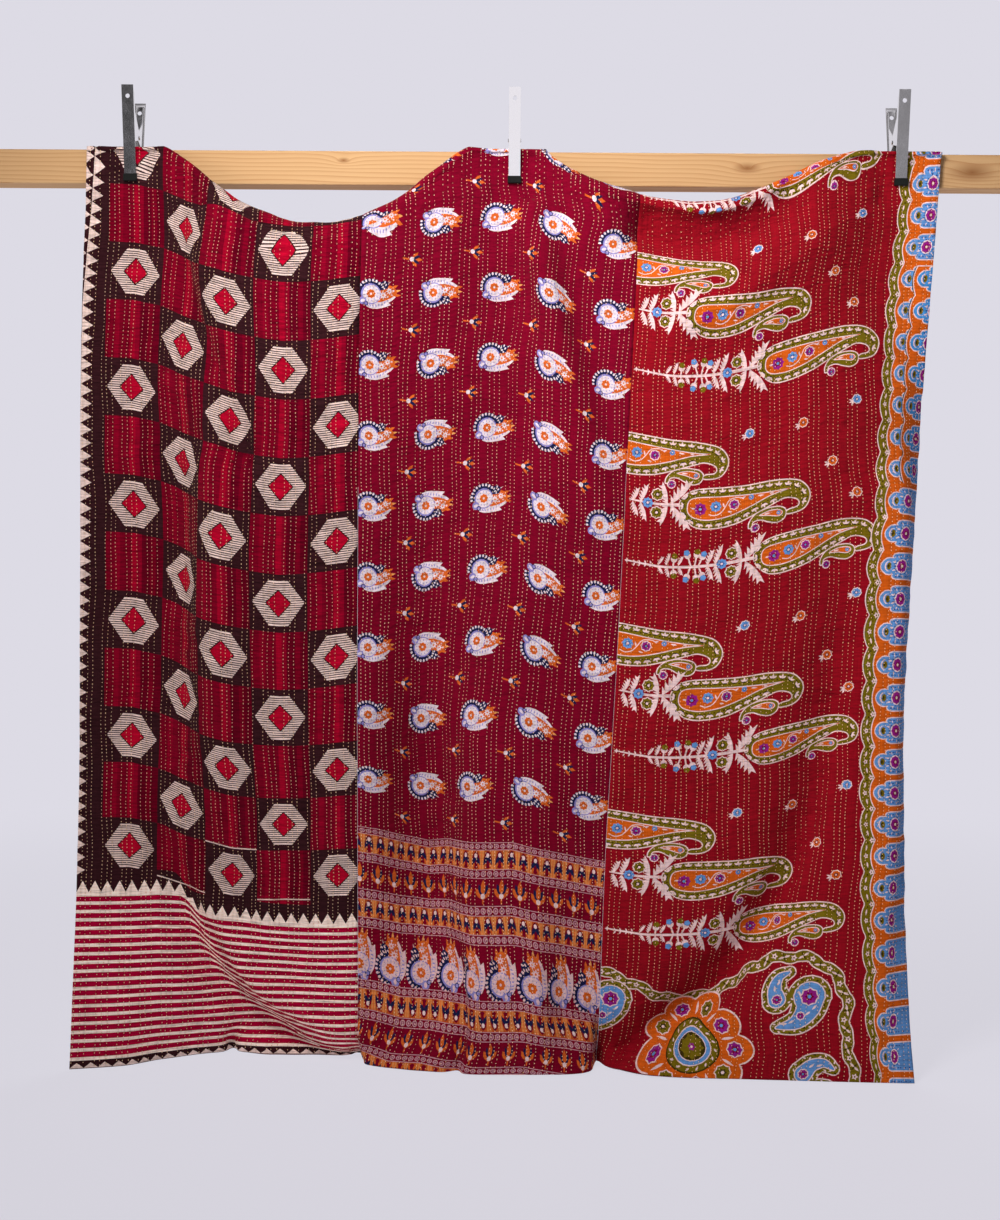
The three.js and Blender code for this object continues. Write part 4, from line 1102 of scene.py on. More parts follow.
# %% Drift of the rows, and soft unevenness
DRIFT = {  # how far the printed rows have slipped down the cloth, by place across and down
    "left": dict(across=(0, 98, 202, 306, 410, 514, 552), rows={
        -450: (0, 5, 28, 38, 40, 30, 28), 900: (0, 5, 28, 38, 40, 30, 28), 1436: (0, 0, 24, 38, 24, 22, 24),
        1736: (0, 0, 0, 0, 0, 0, 0)},
        slip=dict(path=((180, 1313), (215, 1455), (285, 1698), (545, 1728)), size=34.0, half=(16.0, 34.0),
                  start=1388.0)),
    "middle": dict(across=(552, 589, 645, 711, 833, 930, 1017, 1112), rows={
        -450: (12, 20, 32, 43, 38, 50, 56, 58), 900: (12, 20, 32, 43, 38, 50, 56, 58),
        1290: (-8, 3, 27, 53, 55, 51, 56, 66), 1750: (46, 51, 62, 56, 72, 70, 87, 111)}),
    "right": dict(across=(1112, 1240, 1400, 1697), rows={
        -450: (22, 26, 10, 0), 110: (22, 26, 10, 0), 230: (0, 0, 0, 0), 1750: (0, 0, 0, 0)}),
}


def slipped(outline, path, size, half, start):
    """How far the foot has slipped down above and to the right of the long fold that crosses it."""
    near, gap, side = beside(crease_path(*path), *outline.T)
    half = np.interp(near, (0, CREASE_STEPS), half)
    share = np.clip((half - np.sign(side) * np.sqrt(gap)) / (2 * half), 0, 1)
    return size * share * share * (3 - 2 * share)


def drifted(outline, table):
    downs = np.array(list(table["rows"]), float)
    slips = np.array([np.interp(outline[:, 0], table["across"], row) for row in table["rows"].values()])
    k = np.clip(np.searchsorted(downs, outline[:, 1]) - 1, 0, len(downs) - 2)
    t = np.clip((outline[:, 1] - downs[k]) / (downs[k + 1] - downs[k]), 0, 1)
    each = np.arange(len(outline))
    slip = slips[k, each] * (1 - t) + slips[k + 1, each] * t
    if "slip" in table:
        slip = np.where(outline[:, 1] < table["slip"]["start"], slip, slipped(outline, **table["slip"]))
    return outline + np.column_stack([np.zeros(len(k)), slip])


HILLS = dict(across=1800, down=2400, left=50, above=500)  # size of the field of hills, and its margins


def soft_noise(across, down, wide, tall, seed):
    """Smooth random hills between -1 and 1, about so wide and so tall."""
    cells = (int(HILLS["down"] / tall) + 4, int(HILLS["across"] / wide) + 4)
    grid = np.random.default_rng(seed).uniform(-1, 1, cells)
    x, y = (across + HILLS["left"]) / wide, (down + HILLS["above"]) / tall
    i, j = x.astype(int), y.astype(int)
    s, t = x - i, y - j
    s, t = s * s * (3 - 2 * s), t * t * (3 - 2 * t)
    near = grid[j, i] * (1 - s) + grid[j, i + 1] * s
    far = grid[j + 1, i] * (1 - s) + grid[j + 1, i + 1] * s
    return near * (1 - t) + far * t


UNEVEN = ((130, 90, 2.4, 11), (52, 28, 1.7, 12), (30, 15, 0.9, 13))  # width, height, lift and seed of hills
GRIP = dict(flat=90, fall=40)  # how far above and below a clamp the cloth lies flat, and then swells


def relief(across, down):
    """Hills and hollows that the quilting draws into the cloth, flat where a clamp grips it."""
    holds = [plateau(across - place, PINCH["across_flat"], PINCH["across_fall"]) for place in CLAMPS_ACROSS]
    grip = np.max(holds, axis=0) * plateau(down - PINCH["down"], GRIP["flat"], GRIP["fall"])
    hills = sum(lift * soft_noise(across, down, wide, tall, seed) for wide, tall, lift, seed in UNEVEN)
    return hills * (1 - grip)


SEAM_ROUND = dict(reach=3.0, share=0.65)


def cloth_surface(across, down, lift, panel):
    """A place on the cloth, so far out from its middle; the cloth thins towards the panel's sides."""
    side = np.minimum(across - panel["start"], panel["end"] - across)
    thin = 1 - SEAM_ROUND["share"] * np.exp(-((side / SEAM_ROUND["reach"]) ** 2))
    out = lift * thin + relief(across, down)
    return cloth_middle(across, down) + cloth_facing(across, down) * out[:, None]


# %% Triangulating a panel
NET = dict(front=9.0, flap=14.0, roll_rows=9, longest=9.5, near=1e-3)


def finer(outline, longest=NET["longest"]):
    """The outline with its long edges divided, so that they can follow a fold."""
    parts = []
    for a, b in zip(outline, np.roll(outline, -1, axis=0)):
        count = max(math.ceil(np.linalg.norm(b - a) / longest), 1)
        parts.append(a + (b - a) * np.arange(count)[:, None] / count)
    return np.concatenate(parts)


def one_way_round(outline):
    x, y = outline.T
    return outline if np.sum(x * np.roll(y, -1) - np.roll(x, -1) * y) > 0 else outline[::-1]


def net_points(panel, spacing):
    """Points in columns down the panel: open on the flap, close over the roll, even down the front."""
    across = np.arange(panel["start"] + spacing / 2, panel["end"], spacing)
    _, _, _, start, top = fold_at(across)
    points = []
    for i, u in enumerate(across):
        stagger = spacing / 2 * (i % 2)
        front = np.arange(start[i] + spacing * 0.6 + stagger, CLOTH["drop"] - 3, spacing)
        roll = np.linspace(top[i], start[i], NET["roll_rows"])
        flap = np.arange(-CLOTH["flap"] + spacing * 0.7, top[i] - spacing * 0.6, max(NET["flap"], spacing))
        down = np.concatenate([flap, roll, front])
        points.append(np.column_stack([np.full(len(down), u), down]))
    return np.concatenate(points)


def triangulate(outlines, extra):
    """Points and triangles with every outline kept as edges, and the input points behind each point."""
    faces, count = [], 0
    for outline in outlines:
        faces.append(list(range(count, count + len(outline))))
        count += len(outline)
    points = [Vector(p) for p in np.concatenate(outlines + [extra])]
    found, _, triangles, origins, _, _ = delaunay_2d_cdt(points, [], faces, 0, NET["near"], True)
    return np.array([tuple(p) for p in found]), np.array(triangles), origins


def inside(outline, u, v):
    """Whether points lie in an outline, by counting its edges to their right."""
    (u0, v0), (u1, v1) = outline.T[:, :, None], np.roll(outline, -1, axis=0).T[:, :, None]
    with np.errstate(divide="ignore", invalid="ignore"):
        crossed = ((v0 > v) != (v1 > v)) & (u < u0 + (u1 - u0) * (v - v0) / (v1 - v0))
    return crossed.sum(axis=0) % 2 == 1


def last_printed(outlines, flat, triangles):
    """The number of the last outline that covers each triangle, counted from 1, or 0 for bare ground."""
    middle = flat[triangles].mean(axis=1)
    order = np.argsort(middle[:, 1])
    u, v = middle[order].T
    top = np.zeros(len(order), int)
    for number, outline in enumerate(outlines, start=1):
        (low_u, low_v), (high_u, high_v) = outline.min(axis=0), outline.max(axis=0)
        rows = slice(*np.searchsorted(v, (low_v, high_v)))
        near = np.flatnonzero((u[rows] > low_u) & (u[rows] < high_u)) + rows.start
        top[near[inside(outline, u[near], v[near])]] = number
    covers = np.zeros_like(top)
    covers[order] = top
    return covers


def edge_runs(triangles):
    """Directed edges that only one triangle has."""
    runs = np.concatenate([triangles[:, (0, 1)], triangles[:, (1, 2)], triangles[:, (2, 0)]])
    there = {(a, b) for a, b in runs.tolist()}
    return [(a, b) for a, b in there if (b, a) not in there]


def walk(runs):
    after = dict(runs)
    path = [runs[0][0]]
    while after[path[-1]] != path[0]:
        path.append(after[path[-1]])
    return path


# %% One closed cloth for each panel
def make_mesh(name, points, triangles, flat, colour):
    mesh = bpy.data.meshes.new(name)
    mesh.from_pydata(points.tolist(), [], triangles.tolist())
    mesh.shade_smooth()
    corners = triangles.ravel()
    uv = mesh.uv_layers.new(name="cloth")
    uv.data.foreach_set("uv", (flat[corners] * MM).astype(np.float32).ravel())
    dye = mesh.color_attributes.new("dye", "FLOAT_COLOR", "CORNER")
    dye.data.foreach_set("color", np.repeat(colour, 3, axis=0).astype(np.float32).ravel())
    return mesh


def make_panel(panel):
    rectangle = finer(box(panel["start"], -CLOTH["flap"], panel["end"], CLOTH["drop"]))
    printed = [one_way_round(drifted(finer(outline), panel["drift"])) for _, outline in panel["print"]]
    flat, front, _ = triangulate([rectangle] + printed, net_points(panel, NET["front"]))
    front = front[inside(rectangle, *flat[front].mean(axis=1).T)]
    top = last_printed(printed, flat, front)
    used, front = np.unique(front, return_inverse=True)
    flat, front = flat[used], front.reshape(-1, 3)
    rim = walk(edge_runs(front))
    extra = net_points(panel, panel["reverse_net"])
    back_flat, back, origins = triangulate([flat[rim]], extra)
    back = back[inside(rectangle, *back_flat[back].mean(axis=1).T)]
    face = cloth_surface(*flat.T, CLOTH["thickness"] / 2, panel)
    reverse = cloth_surface(*back_flat.T, -CLOTH["thickness"] / 2, panel)
    behind = {origin: i for i, found in enumerate(origins) for origin in found}
    following = [(i + 1) % len(rim) for i in range(len(rim))]
    turns = [(rim[i], rim[k], behind[i], behind[k]) for i, k in enumerate(following)]
    shift = len(flat)
    wall = [t for a, b, c, d in turns for t in ((a, b, d + shift), (a, d + shift, c + shift))]
    triangles = np.concatenate([front[:, ::-1], back + shift, np.array(wall)])
    dyes = np.array([linear(DYES[panel["ground"]])] + [linear(DYES[dye]) for dye, _ in panel["print"]])
    colour = np.concatenate([dyes[top], np.tile(linear(REVERSE_DYE), (len(back) + len(wall), 1))])
    is_reverse = np.concatenate([np.zeros(len(top)), np.ones(len(back)), np.zeros(len(wall))])
    points = np.concatenate([face, reverse]) * MM
    mesh = make_mesh(panel["name"], points, triangles, np.concatenate([flat, back_flat]),
                     np.column_stack([colour, is_reverse]))
    piece = bpy.data.objects.new(panel["name"], mesh)
    bpy.context.scene.collection.objects.link(piece)
    print(panel["name"], len(front), "printed triangles,", len(triangles), "in all")
    return piece


HALF_SEAM = 0.2
REVERSE_DYE = (104, 30, 36)
PANELS = [
    dict(name="quilt_left", node="quilt_panel_left", ground="bark", start=0.0, end=SEAM_LEFT - HALF_SEAM,
         reverse_net=10.0, drift=DRIFT["left"], print=left_print()),
    dict(name="quilt_middle", node="quilt_panel_middle", ground="maroon", start=SEAM_LEFT + HALF_SEAM,
         end=SEAM_RIGHT - HALF_SEAM, reverse_net=18.0, drift=DRIFT["middle"], print=middle_print()),
    dict(name="quilt_right", node="quilt_panel_right", ground="brick", start=SEAM_RIGHT + HALF_SEAM,
         end=WIDTH, reverse_net=15.0, drift=DRIFT["right"], print=right_print()),
]
for panel in PANELS:
    panel["piece"] = make_panel(panel)
# %% [markdown]
# ## Cotton that has been quilted and washed
# Old quilted cotton is matt, with a little sheen from loose fibres. Its threads show as fine streaks,
# its dye has faded unevenly, and the rows of stitch draw soft grooves with small puckers between them.
# Shade is painted into the colour along those grooves.
# The cloth's own flat measures, kept as a UV map in metres, drive all of this, so it follows the folds.

# %% Small helpers for nodes
def add_node(tree, kind, inputs=(), **settings):
    node = tree.nodes.new(kind)
    for name, value in settings.items():
        setattr(node, name, value)
    for name, value in dict(inputs).items():
        if isinstance(value, bpy.types.NodeSocket):
            tree.links.new(value, node.inputs[name])
        else:
            node.inputs[name].default_value = value
    return node


def calc(tree, operation, *values, clamp=False):
    inputs = dict(enumerate(values))
    return add_node(tree, "ShaderNodeMath", inputs, operation=operation, use_clamp=clamp).outputs[0]


def mixed(tree, factor, a, b, blend="MIX"):
    node = add_node(tree, "ShaderNodeMix", {0: factor, 6: a, 7: b}, data_type="RGBA", blend_type=blend)
    return node.outputs[2]


def noise(tree, vector, scale, detail=2.0, roughness=0.5):
    inputs = {"Vector": vector, "Scale": scale, "Detail": detail, "Roughness": roughness}
    return add_node(tree, "ShaderNodeTexNoise", inputs).outputs[0]


def stretched(tree, vector, x, y, z=1.0):
    inputs = {"Vector": vector, "Scale": (x, y, z)}
    return add_node(tree, "ShaderNodeMapping", inputs).outputs[0]


def new_group(name, inputs, outputs):
    """A shader group with named sockets; gives the tree, its input node and its output node."""
    tree = bpy.data.node_groups.new(name, "ShaderNodeTree")
    for label, kind in inputs:
        tree.interface.new_socket(label, in_out="INPUT", socket_type=f"NodeSocket{kind}")
    for label, kind in outputs:
        tree.interface.new_socket(label, in_out="OUTPUT", socket_type=f"NodeSocket{kind}")
    return tree, tree.nodes.new("NodeGroupInput").outputs, tree.nodes.new("NodeGroupOutput").inputs


def new_material(name, **sockets):
    material = bpy.data.materials.new(name)
    material.use_nodes = True
    tree = material.node_tree
    surface = tree.nodes["Principled BSDF"]
    for label, value in sockets.items():
        surface.inputs[label.replace("_", " ")].default_value = value
    return material, tree, surface.inputs


# %% The quilted cotton group
ROWS = dict(period=37.5, spacing=9.4, pitch=8.2, waves=((3.0, 640.0, 0.4), (1.2, 170.0, 1.9)))
BACK_STITCH = dict(dye=(222, 160, 104), share=0.42, half=0.75)  # thread on the reverse: share of the pitch


def row_sway(down):
    """How far the stitch rows sway to the side on their way down."""
    return sum(size * np.sin(2 * math.pi * down / length + phase) for size, length, phase in ROWS["waves"])


def cotton_group():
    inputs = (("Dye", "Color"), ("Reverse", "Float"), ("First row", "Float"), ("Fading", "Float"),
              ("Streaks", "Float"))
    outputs = (("Color", "Color"), ("Roughness", "Float"), ("Height", "Float"))
    tree, given, out = new_group("quilted_cotton", inputs, outputs)
    flat = add_node(tree, "ShaderNodeUVMap", uv_map="cloth").outputs[0]
    parts = add_node(tree, "ShaderNodeSeparateXYZ", {0: flat}).outputs
    across, down = calc(tree, "DIVIDE", parts[0], MM), calc(tree, "DIVIDE", parts[1], MM)
    sway = calc(tree, "ADD", given["First row"], 0.0)
    for size, length, phase in ROWS["waves"]:
        turn = calc(tree, "MULTIPLY_ADD", down, 2 * math.pi / length, phase)
        sway = calc(tree, "MULTIPLY_ADD", calc(tree, "SINE", turn), size, sway)
    spot = calc(tree, "FLOORED_MODULO", calc(tree, "SUBTRACT", across, sway), ROWS["period"])
    gaps = [calc(tree, "ABSOLUTE", calc(tree, "SUBTRACT", spot, k * ROWS["spacing"])) for k in range(3)]
    gaps.append(calc(tree, "ABSOLUTE", calc(tree, "SUBTRACT", spot, ROWS["period"])))
    nearest = gaps[0]
    for gap in gaps[1:]:
        nearest = calc(tree, "MINIMUM", nearest, gap)
    # the groove mask shapes the bump, and further down it also paints shade into the colour
    groove = calc(tree, "EXPONENT", calc(tree, "MULTIPLY", calc(tree, "MULTIPLY", nearest, nearest), -0.16))
    pucker = noise(tree, stretched(tree, flat, 38, 120), 1.0, 3.0, 0.6)
    crumple = noise(tree, stretched(tree, flat, 16, 22), 1.0, 2.0)
    weft = noise(tree, stretched(tree, flat, 30, 900), 1.0, 1.0)
    warp = noise(tree, stretched(tree, flat, 900, 24), 1.0, 1.0)
    threads = calc(tree, "SUBTRACT", calc(tree, "ADD", weft, warp), 1.0)
    height = calc(tree, "MULTIPLY", groove, -0.55)
    height = calc(tree, "MULTIPLY_ADD", pucker, 6.5, height)
    height = calc(tree, "MULTIPLY_ADD", crumple, 3.4, height)
    height = calc(tree, "MULTIPLY_ADD", threads, 0.10, height)
    tree.links.new(height, out["Height"])
    faded = noise(tree, flat, 5.0, 4.0, 0.6)
    slub = noise(tree, stretched(tree, flat, 26, 290), 1.0, 2.0, 0.6)
    light = calc(tree, "MULTIPLY_ADD", threads, 0.5, 1.0)
    light = calc(tree, "MULTIPLY_ADD", calc(tree, "SUBTRACT", slub, 0.5), given["Streaks"], light)
    light = calc(tree, "MULTIPLY_ADD", calc(tree, "SUBTRACT", faded, 0.5), given["Fading"], light)
    # painted shade: the colour is darkened along the stitch-row grooves, where shade would fall
    light = calc(tree, "MULTIPLY_ADD", groove, -0.12, light)
    shade = add_node(tree, "ShaderNodeCombineColor", {0: light, 1: light, 2: light}).outputs[0]
    colour = mixed(tree, 1.0, given["Dye"], shade, "MULTIPLY")
    dash = calc(tree, "FRACT", calc(tree, "DIVIDE", down, ROWS["pitch"]))
    on_row = calc(tree, "LESS_THAN", nearest, BACK_STITCH["half"])
    stitched = calc(tree, "MULTIPLY", calc(tree, "LESS_THAN", dash, BACK_STITCH["share"]), on_row)
    shown = calc(tree, "MULTIPLY", stitched, given["Reverse"])
    colour = mixed(tree, shown, colour, (*linear(BACK_STITCH["dye"]), 1))
    tree.links.new(colour, out["Color"])
    tree.links.new(calc(tree, "MULTIPLY_ADD", pucker, 0.16, 0.74), out["Roughness"])
    return tree


COTTON = cotton_group()


def cotton_material(name, first_row, fading, streaks):
    sockets = dict(Specular_IOR_Level=0.02, Sheen_Weight=0.03, Sheen_Roughness=0.5,
                   Sheen_Tint=(1, 0.7, 0.66, 1))
    material, tree, surface = new_material(name, **sockets)
    dye = add_node(tree, "ShaderNodeAttribute", attribute_name="dye", attribute_type="GEOMETRY").outputs
    inputs = {"Dye": dye["Color"], "Reverse": dye["Alpha"], "First row": first_row, "Fading": fading,
              "Streaks": streaks}
    cotton = tree.nodes.new("ShaderNodeGroup")
    cotton.node_tree = COTTON
    for label, value in inputs.items():
        if isinstance(value, float):
            cotton.inputs[label].default_value = value
        else:
            tree.links.new(value, cotton.inputs[label])
    inputs = {"Height": cotton.outputs["Height"], "Distance": MM, "Strength": 0.9}
    bump = add_node(tree, "ShaderNodeBump", inputs)
    tree.links.new(cotton.outputs["Color"], surface["Base Color"])
    tree.links.new(cotton.outputs["Roughness"], surface["Roughness"])
    tree.links.new(bump.outputs[0], surface["Normal"])
    return material


# %% Cotton on the panels
FIRST_ROWS = (6.0, 560.0, 1120.0)
FADING = (0.30, 0.34, 0.42)
STREAKS = (1.5, 0.5, 0.7)
for panel, first_row, fading, streaks in zip(PANELS, FIRST_ROWS, FADING, STREAKS):
    panel["first_row"] = first_row
    cotton = cotton_material(f"{panel['name']}_cotton", first_row, fading, streaks)
    panel["piece"].data.materials.append(cotton)
print("cotton materials:", len(PANELS), "nodes in the shared group:", len(COTTON.nodes))

# %% [markdown]
# ## Running stitch
# The quilting is thousands of short running stitches in rows, three rows close together and then a gap.
# Each stitch is one small swelling of yellow thread. Geometry Nodes set the same five-sided stitch on
# every point, turned to the cloth and a little uneven in length, and the result is one plain mesh for
# each panel.

# %% Where the stitches go
STITCH = dict(share=0.45, width=1.9, height=0.6, wander=0.7, edge=4.0, sunk=0.1)  # share of the pitch
UNEVEN_STITCH = dict(shortest=0.78, longest=1.2, first=7, slip=0.45)
PITCHES = (7.1, 7.1, 6.9)


def stitch_points(panel, seed):
    rng = np.random.default_rng(seed)
    groups = np.arange(panel["first_row"], panel["end"], ROWS["period"])
    rows = np.concatenate([groups + k * ROWS["spacing"] for k in range(3)])
    across, down = [], []
    for row in np.sort(rows):
        first = -CLOTH["flap"] + STITCH["edge"] + rng.uniform(0, UNEVEN_STITCH["first"])
        at = np.arange(first, CLOTH["drop"] - STITCH["edge"], panel["pitch"])
        at = at + rng.normal(0, UNEVEN_STITCH["slip"], len(at))
        wander = STITCH["wander"] * np.sin(at / rng.uniform(60, 140) + rng.uniform(0, 6))
        across.append(row + row_sway(at) + wander)
        down.append(at)
    across, down = np.concatenate(across), np.concatenate(down)
    kept = (across > panel["start"] + STITCH["edge"] / 2) & (across < panel["end"] - STITCH["edge"] / 2)
    across, down = across[kept], down[kept]
    lift = CLOTH["thickness"] / 2 - STITCH["sunk"]
    places = cloth_surface(across, down, lift, panel)
    run = cloth_middle(across, down + 2) - cloth_middle(across, down - 2)
    return places, cloth_facing(across, down), run


# %% The stitch tree
def stitch_tree():
    tree = bpy.data.node_groups.new("running_stitch", "GeometryNodeTree")
    sockets = (("Geometry", "Geometry"), ("Length", "Float"), ("Width", "Float"), ("Height", "Float"),
               ("Seed", "Int"), ("Material", "Material"))
    for label, kind in sockets:
        tree.interface.new_socket(label, in_out="INPUT", socket_type=f"NodeSocket{kind}")
    tree.interface.new_socket("Geometry", in_out="OUTPUT", socket_type="NodeSocketGeometry")
    given = tree.nodes.new("NodeGroupInput").outputs
    inputs = {"Vertices": 5, "Radius Top": 0.0, "Radius Bottom": 0.5, "Depth": 1.0}
    cone = add_node(tree, "GeometryNodeMeshCone", inputs)
    facing = add_node(tree, "GeometryNodeInputNamedAttribute", {"Name": "facing"},
                      data_type="FLOAT_VECTOR").outputs[0]
    run = add_node(tree, "GeometryNodeInputNamedAttribute", {"Name": "run"},
                   data_type="FLOAT_VECTOR").outputs[0]
    turn = add_node(tree, "FunctionNodeAxesToRotation", {0: facing, 1: run}, primary_axis="Z",
                    secondary_axis="X")
    inputs = {2: UNEVEN_STITCH["shortest"], 3: UNEVEN_STITCH["longest"], "Seed": given["Seed"]}
    uneven = add_node(tree, "FunctionNodeRandomValue", inputs, data_type="FLOAT")
    long = calc(tree, "MULTIPLY", given["Length"], uneven.outputs[1])
    size = add_node(tree, "ShaderNodeCombineXYZ", {0: long, 1: given["Width"], 2: given["Height"]}).outputs[0]
    inputs = {"Points": given["Geometry"], "Instance": cone.outputs[0], "Rotation": turn.outputs[0],
              "Scale": size}
    sewn = add_node(tree, "GeometryNodeInstanceOnPoints", inputs).outputs[0]
    shade = add_node(tree, "FunctionNodeRandomValue", {2: 0.0, 3: 1.0, "Seed": given["Seed"]},
                     data_type="FLOAT")
    stored = add_node(tree, "GeometryNodeStoreNamedAttribute",
                      {"Geometry": sewn, "Name": "shade", "Value": shade.outputs[1]}, data_type="FLOAT",
                      domain="INSTANCE").outputs[0]
    real = add_node(tree, "GeometryNodeRealizeInstances", {0: stored}).outputs[0]
    smooth = add_node(tree, "GeometryNodeSetShadeSmooth", {0: real}).outputs[0]
    inputs = {"Geometry": smooth, "Material": given["Material"]}
    dyed = add_node(tree, "GeometryNodeSetMaterial", inputs).outputs[0]
    tree.links.new(dyed, tree.nodes.new("NodeGroupOutput").inputs[0])
    return tree


# %% Thread, and the sewn rows
def thread_material(name, light, dark):
    material, tree, surface = new_material(name, Roughness=0.62, Specular_IOR_Level=0.05, Sheen_Weight=0.2)
    shade = add_node(tree, "ShaderNodeAttribute", attribute_name="shade").outputs["Fac"]
    place = add_node(tree, "ShaderNodeTexCoord").outputs["Object"]
    thread = calc(tree, "MULTIPLY_ADD", shade, 0.6, -0.3)
    worn = calc(tree, "MULTIPLY_ADD", noise(tree, place, 9.0, 3.0), 0.9, thread)
    colour = mixed(tree, worn, (*linear(light), 1), (*linear(dark), 1))
    tree.links.new(colour, surface["Base Color"])
    return material


def sew(panel, tree, material, seed):
    places, facing, run = stitch_points(panel, seed)
    name = f"{panel['name']}_stitches"
    mesh = bpy.data.meshes.new(name)
    mesh.from_pydata((places * MM).tolist(), [], [])
    for label, values in (("facing", facing), ("run", run)):
        attribute = mesh.attributes.new(label, "FLOAT_VECTOR", "POINT")
        attribute.data.foreach_set("vector", values.astype(np.float32).ravel())
    piece = bpy.data.objects.new(name, mesh)
    bpy.context.scene.collection.objects.link(piece)
    modifier = piece.modifiers.new("sewing", "NODES")
    modifier.node_group = tree
    inputs = {"Length": STITCH["share"] * panel["pitch"] * MM, "Width": STITCH["width"] * MM,
              "Height": STITCH["height"] * MM, "Seed": seed, "Material": material}
    for item in tree.interface.items_tree:
        if item.in_out == "INPUT" and item.name in inputs:
            modifier[item.identifier] = inputs[item.name]
    ready = piece.evaluated_get(bpy.context.evaluated_depsgraph_get())
    sewn = bpy.data.meshes.new_from_object(ready)
    piece.modifiers.clear()
    piece.data = sewn
    sewn.name = name
    bpy.data.meshes.remove(mesh)
    print(name, len(places), "stitches,", sum(len(p.vertices) - 2 for p in sewn.polygons), "triangles")
    return piece


THREADS = (((250, 216, 172), (216, 166, 118)), ((255, 224, 182), (240, 186, 138)),
           ((255, 216, 162), (244, 180, 128)))
running_stitch = stitch_tree()
for seed, (panel, pitch, (light, dark)) in enumerate(zip(PANELS, PITCHES, THREADS), start=21):
    panel["pitch"] = pitch
    thread = thread_material(f"{panel['name']}_thread", light, dark)
    panel["stitches"] = sew(panel, running_stitch, thread, seed)

# %% [markdown]
# ## Pine rail
# The rail is a planed pine board with its long edges just broken. A bevelled box gives the edges, and
# the finish is grain: long streaks of early and late wood that bend round a few knots, with finer fibres
# over them.

# %% Pine
EDGE_BREAK = 0.0022
KNOTS = [  # along the rail, height up it, half length, half height, in metres
    (0.437, 0.036, 0.030, 0.012), (-0.322, 0.046, 0.014, 0.006), (0.86, 0.03, 0.05, 0.02),
    (-0.7, 0.02, 0.02, 0.007),
]
PINE = dict(early=(208, 167, 120), warm=(190, 145, 98), late=(158, 100, 52), fibre=(222, 188, 144),
            knot=(128, 76, 38))
RINGS = 118.0  # to a metre of height


def pine_material():
    material, tree, surface = new_material("planed_pine", Specular_IOR_Level=0.08)
    place = add_node(tree, "ShaderNodeTexCoord").outputs["Object"]
    bent, dark = None, None
    for x, z, half_length, half_height in KNOTS:
        inputs = {"Vector": place, "Location": (-x / half_length, 0, -z / half_height),
                  "Scale": (1 / half_length, 0, 1 / half_height)}
        near = add_node(tree, "ShaderNodeMapping", inputs).outputs[0]
        away = add_node(tree, "ShaderNodeVectorMath", {0: near}, operation="LENGTH").outputs["Value"]
        pull = calc(tree, "EXPONENT", calc(tree, "MULTIPLY", away, -0.75))
        eye = calc(tree, "SUBTRACT", 1.0, calc(tree, "SMOOTH_MIN", away, 1.0, 0.2), clamp=True)
        bent = calc(tree, "ADD", bent, pull) if bent else pull
        dark = calc(tree, "MAXIMUM", dark, eye) if dark else eye
    wander = noise(tree, stretched(tree, place, 1.6, 9, 9), 1.0, 2.0)
    parts = add_node(tree, "ShaderNodeSeparateXYZ", {0: place}).outputs
    level = calc(tree, "MULTIPLY_ADD", wander, 0.05, calc(tree, "MULTIPLY_ADD", parts[1], 0.6, parts[2]))
    level = calc(tree, "MULTIPLY_ADD", bent, 0.02, level)
    ring = calc(tree, "FRACT", calc(tree, "MULTIPLY", level, RINGS))
    late = calc(tree, "POWER", ring, 3.0)
    fibre = noise(tree, stretched(tree, place, 12, 900, 900), 1.0, 3.0, 0.6)
    tone = noise(tree, stretched(tree, place, 2.2, 14, 14), 1.0, 3.0)
    colour = mixed(tree, tone, (*linear(PINE["early"]), 1), (*linear(PINE["warm"]), 1))
    colour = mixed(tree, calc(tree, "MULTIPLY", late, 0.6), colour, (*linear(PINE["late"]), 1))
    colour = mixed(tree, calc(tree, "MULTIPLY", fibre, 0.25), colour, (*linear(PINE["fibre"]), 1))
    colour = mixed(tree, calc(tree, "MULTIPLY", dark, 0.85), colour, (*linear(PINE["knot"]), 1))
    tree.links.new(colour, surface["Base Color"])
    tree.links.new(calc(tree, "MULTIPLY_ADD", fibre, 0.25, 0.42), surface["Roughness"])
    height = calc(tree, "MULTIPLY_ADD", late, 0.5, fibre)
    bump = add_node(tree, "ShaderNodeBump", {"Height": height, "Distance": 0.00015, "Strength": 0.6})
    tree.links.new(bump.outputs[0], surface["Normal"])
    return material


def make_rail():
    mesh = bpy.data.meshes.new("pine_rail")
    work = bmesh.new()
    bmesh.ops.create_cube(work, size=1.0)
    size, middle = rail_high - rail_low, (rail_high + rail_low) / 2
    for vertex in work.verts:
        vertex.co = Vector(c * s + m for c, s, m in zip(vertex.co, size, middle))
    bmesh.ops.bevel(work, geom=work.edges[:], offset=EDGE_BREAK, segments=3, affect="EDGES", profile=0.5)
    work.to_mesh(mesh)
    work.free()
    mesh.materials.append(pine_material())
    rail = bpy.data.objects.new("pine_rail", mesh)
    bpy.context.scene.collection.objects.link(rail)
    return rail


rail = make_rail()
print("rail faces:", len(rail.data.polygons))

# %% [markdown]
# ## Spring clamps
# Each clamp is two arms of plated sheet steel that turn on a pin, a coil spring that closes them and a
# soft boot on each jaw. The solids already have these shapes, so a merged copy of each gets broken edges
# and a finish.

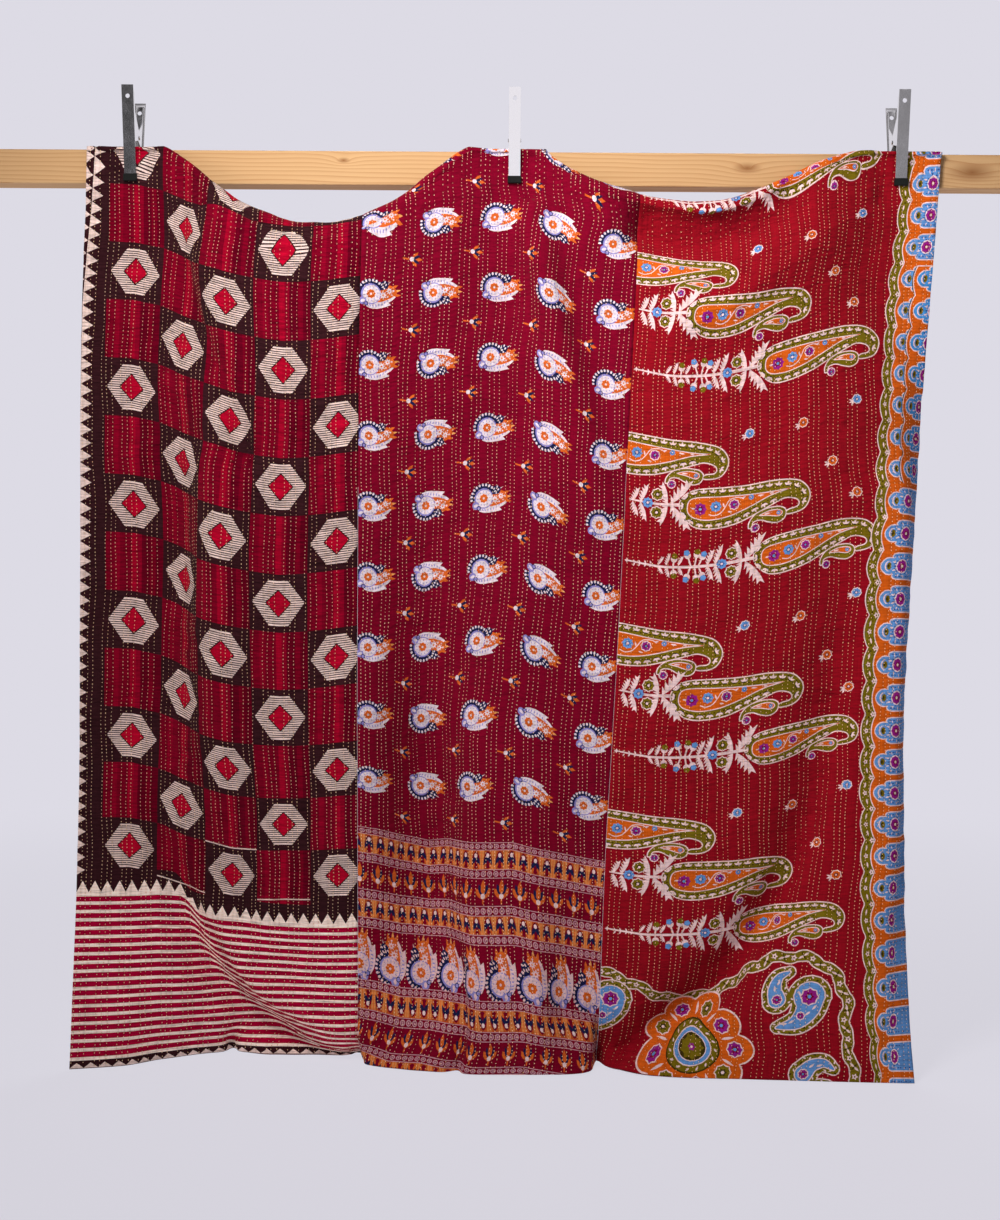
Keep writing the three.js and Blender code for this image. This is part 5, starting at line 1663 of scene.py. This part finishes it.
# %% Steel, spring wire and rubber
def wear_group():
    inputs = (("Grain", "Float"), ("Smudge", "Float"))
    tree, given, out = new_group("handled_surface", inputs, (("Mask", "Float"), ("Height", "Float")))
    place = add_node(tree, "ShaderNodeTexCoord").outputs["Object"]
    fine = noise(tree, stretched(tree, place, 1, 1, 0.12), given["Grain"], 3.0, 0.6)
    broad = noise(tree, place, given["Smudge"], 3.0, 0.55)
    tree.links.new(calc(tree, "MULTIPLY", fine, broad), out["Mask"])
    tree.links.new(fine, out["Height"])
    return tree


WEAR = wear_group()


def handled_material(name, dark, light, grain, rough, bump_depth, **sockets):
    material, tree, surface = new_material(name, **sockets)
    wear = tree.nodes.new("ShaderNodeGroup")
    wear.node_tree = WEAR
    wear.inputs["Grain"].default_value, wear.inputs["Smudge"].default_value = grain, 40.0
    mask = wear.outputs["Mask"]
    tree.links.new(mixed(tree, mask, (*linear(dark), 1), (*linear(light), 1)), surface["Base Color"])
    tree.links.new(calc(tree, "MULTIPLY_ADD", mask, rough[1] - rough[0], rough[0]), surface["Roughness"])
    inputs = {"Height": wear.outputs["Height"], "Distance": bump_depth, "Strength": 0.4}
    bump = add_node(tree, "ShaderNodeBump", inputs)
    tree.links.new(bump.outputs[0], surface["Normal"])
    return material


FINISHES = {
    "clamp_steel": handled_material("plated_steel", (196, 194, 190), (226, 225, 224), 900.0, (0.07, 0.34),
                                    0.00004, Metallic=1.0),
    "spring_steel": handled_material("spring_wire", (120, 122, 126), (168, 170, 174), 700.0, (0.2, 0.5),
                                     0.00005, Metallic=1.0),
    "jaw_rubber": handled_material("dipped_rubber", (22, 23, 22), (42, 44, 41), 500.0, (0.6, 0.85), 0.0001,
                                   Specular_IOR_Level=0.08),
}
KINDS = {"arm": "clamp_steel", "pin": "clamp_steel", "spring": "spring_steel", "boot": "jaw_rubber"}
SOFTEN = {"arm": 0.0008, "pin": 0.0002, "spring": 0.0, "boot": 0.0012}


def finish_clamp_part(node):
    kind = node.split("_")[-1]
    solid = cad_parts[node]
    work = bmesh.new()
    work.from_mesh(solid.data)
    bmesh.ops.remove_doubles(work, verts=work.verts[:], dist=1e-6)
    bmesh.ops.dissolve_limit(work, angle_limit=math.radians(1), verts=work.verts[:], edges=work.edges[:])
    mesh = bpy.data.meshes.new(f"{node}_finished")
    work.to_mesh(mesh)
    work.free()
    mesh.shade_smooth()
    mesh.materials.append(FINISHES[KINDS[kind]])
    piece = bpy.data.objects.new(f"{node}_finished", mesh)
    bpy.context.scene.collection.objects.link(piece)
    if SOFTEN[kind]:
        bevel = piece.modifiers.new("broken_edges", "BEVEL")
        bevel.width, bevel.segments, bevel.limit_method = SOFTEN[kind], 2, "ANGLE"
        bevel.angle_limit = math.radians(35)
        bevel.harden_normals = False
    piece.data.set_sharp_from_angle(angle=math.radians(40))
    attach(piece, "root")
    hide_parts(node)
    return piece


clamp_nodes = sorted(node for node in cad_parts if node.startswith("clamp_"))
clamp_parts = [finish_clamp_part(node) for node in clamp_nodes]
print("clamp parts:", len(clamp_parts))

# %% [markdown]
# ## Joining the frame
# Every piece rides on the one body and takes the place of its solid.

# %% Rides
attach(rail, "root")
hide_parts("rail")
for panel in PANELS:
    for piece in (panel["piece"], panel["stitches"]):
        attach(piece, "root")
    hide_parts(panel["node"])

print("box of the solids:", [[round(x, 4) for x in c] for c in cad_box])
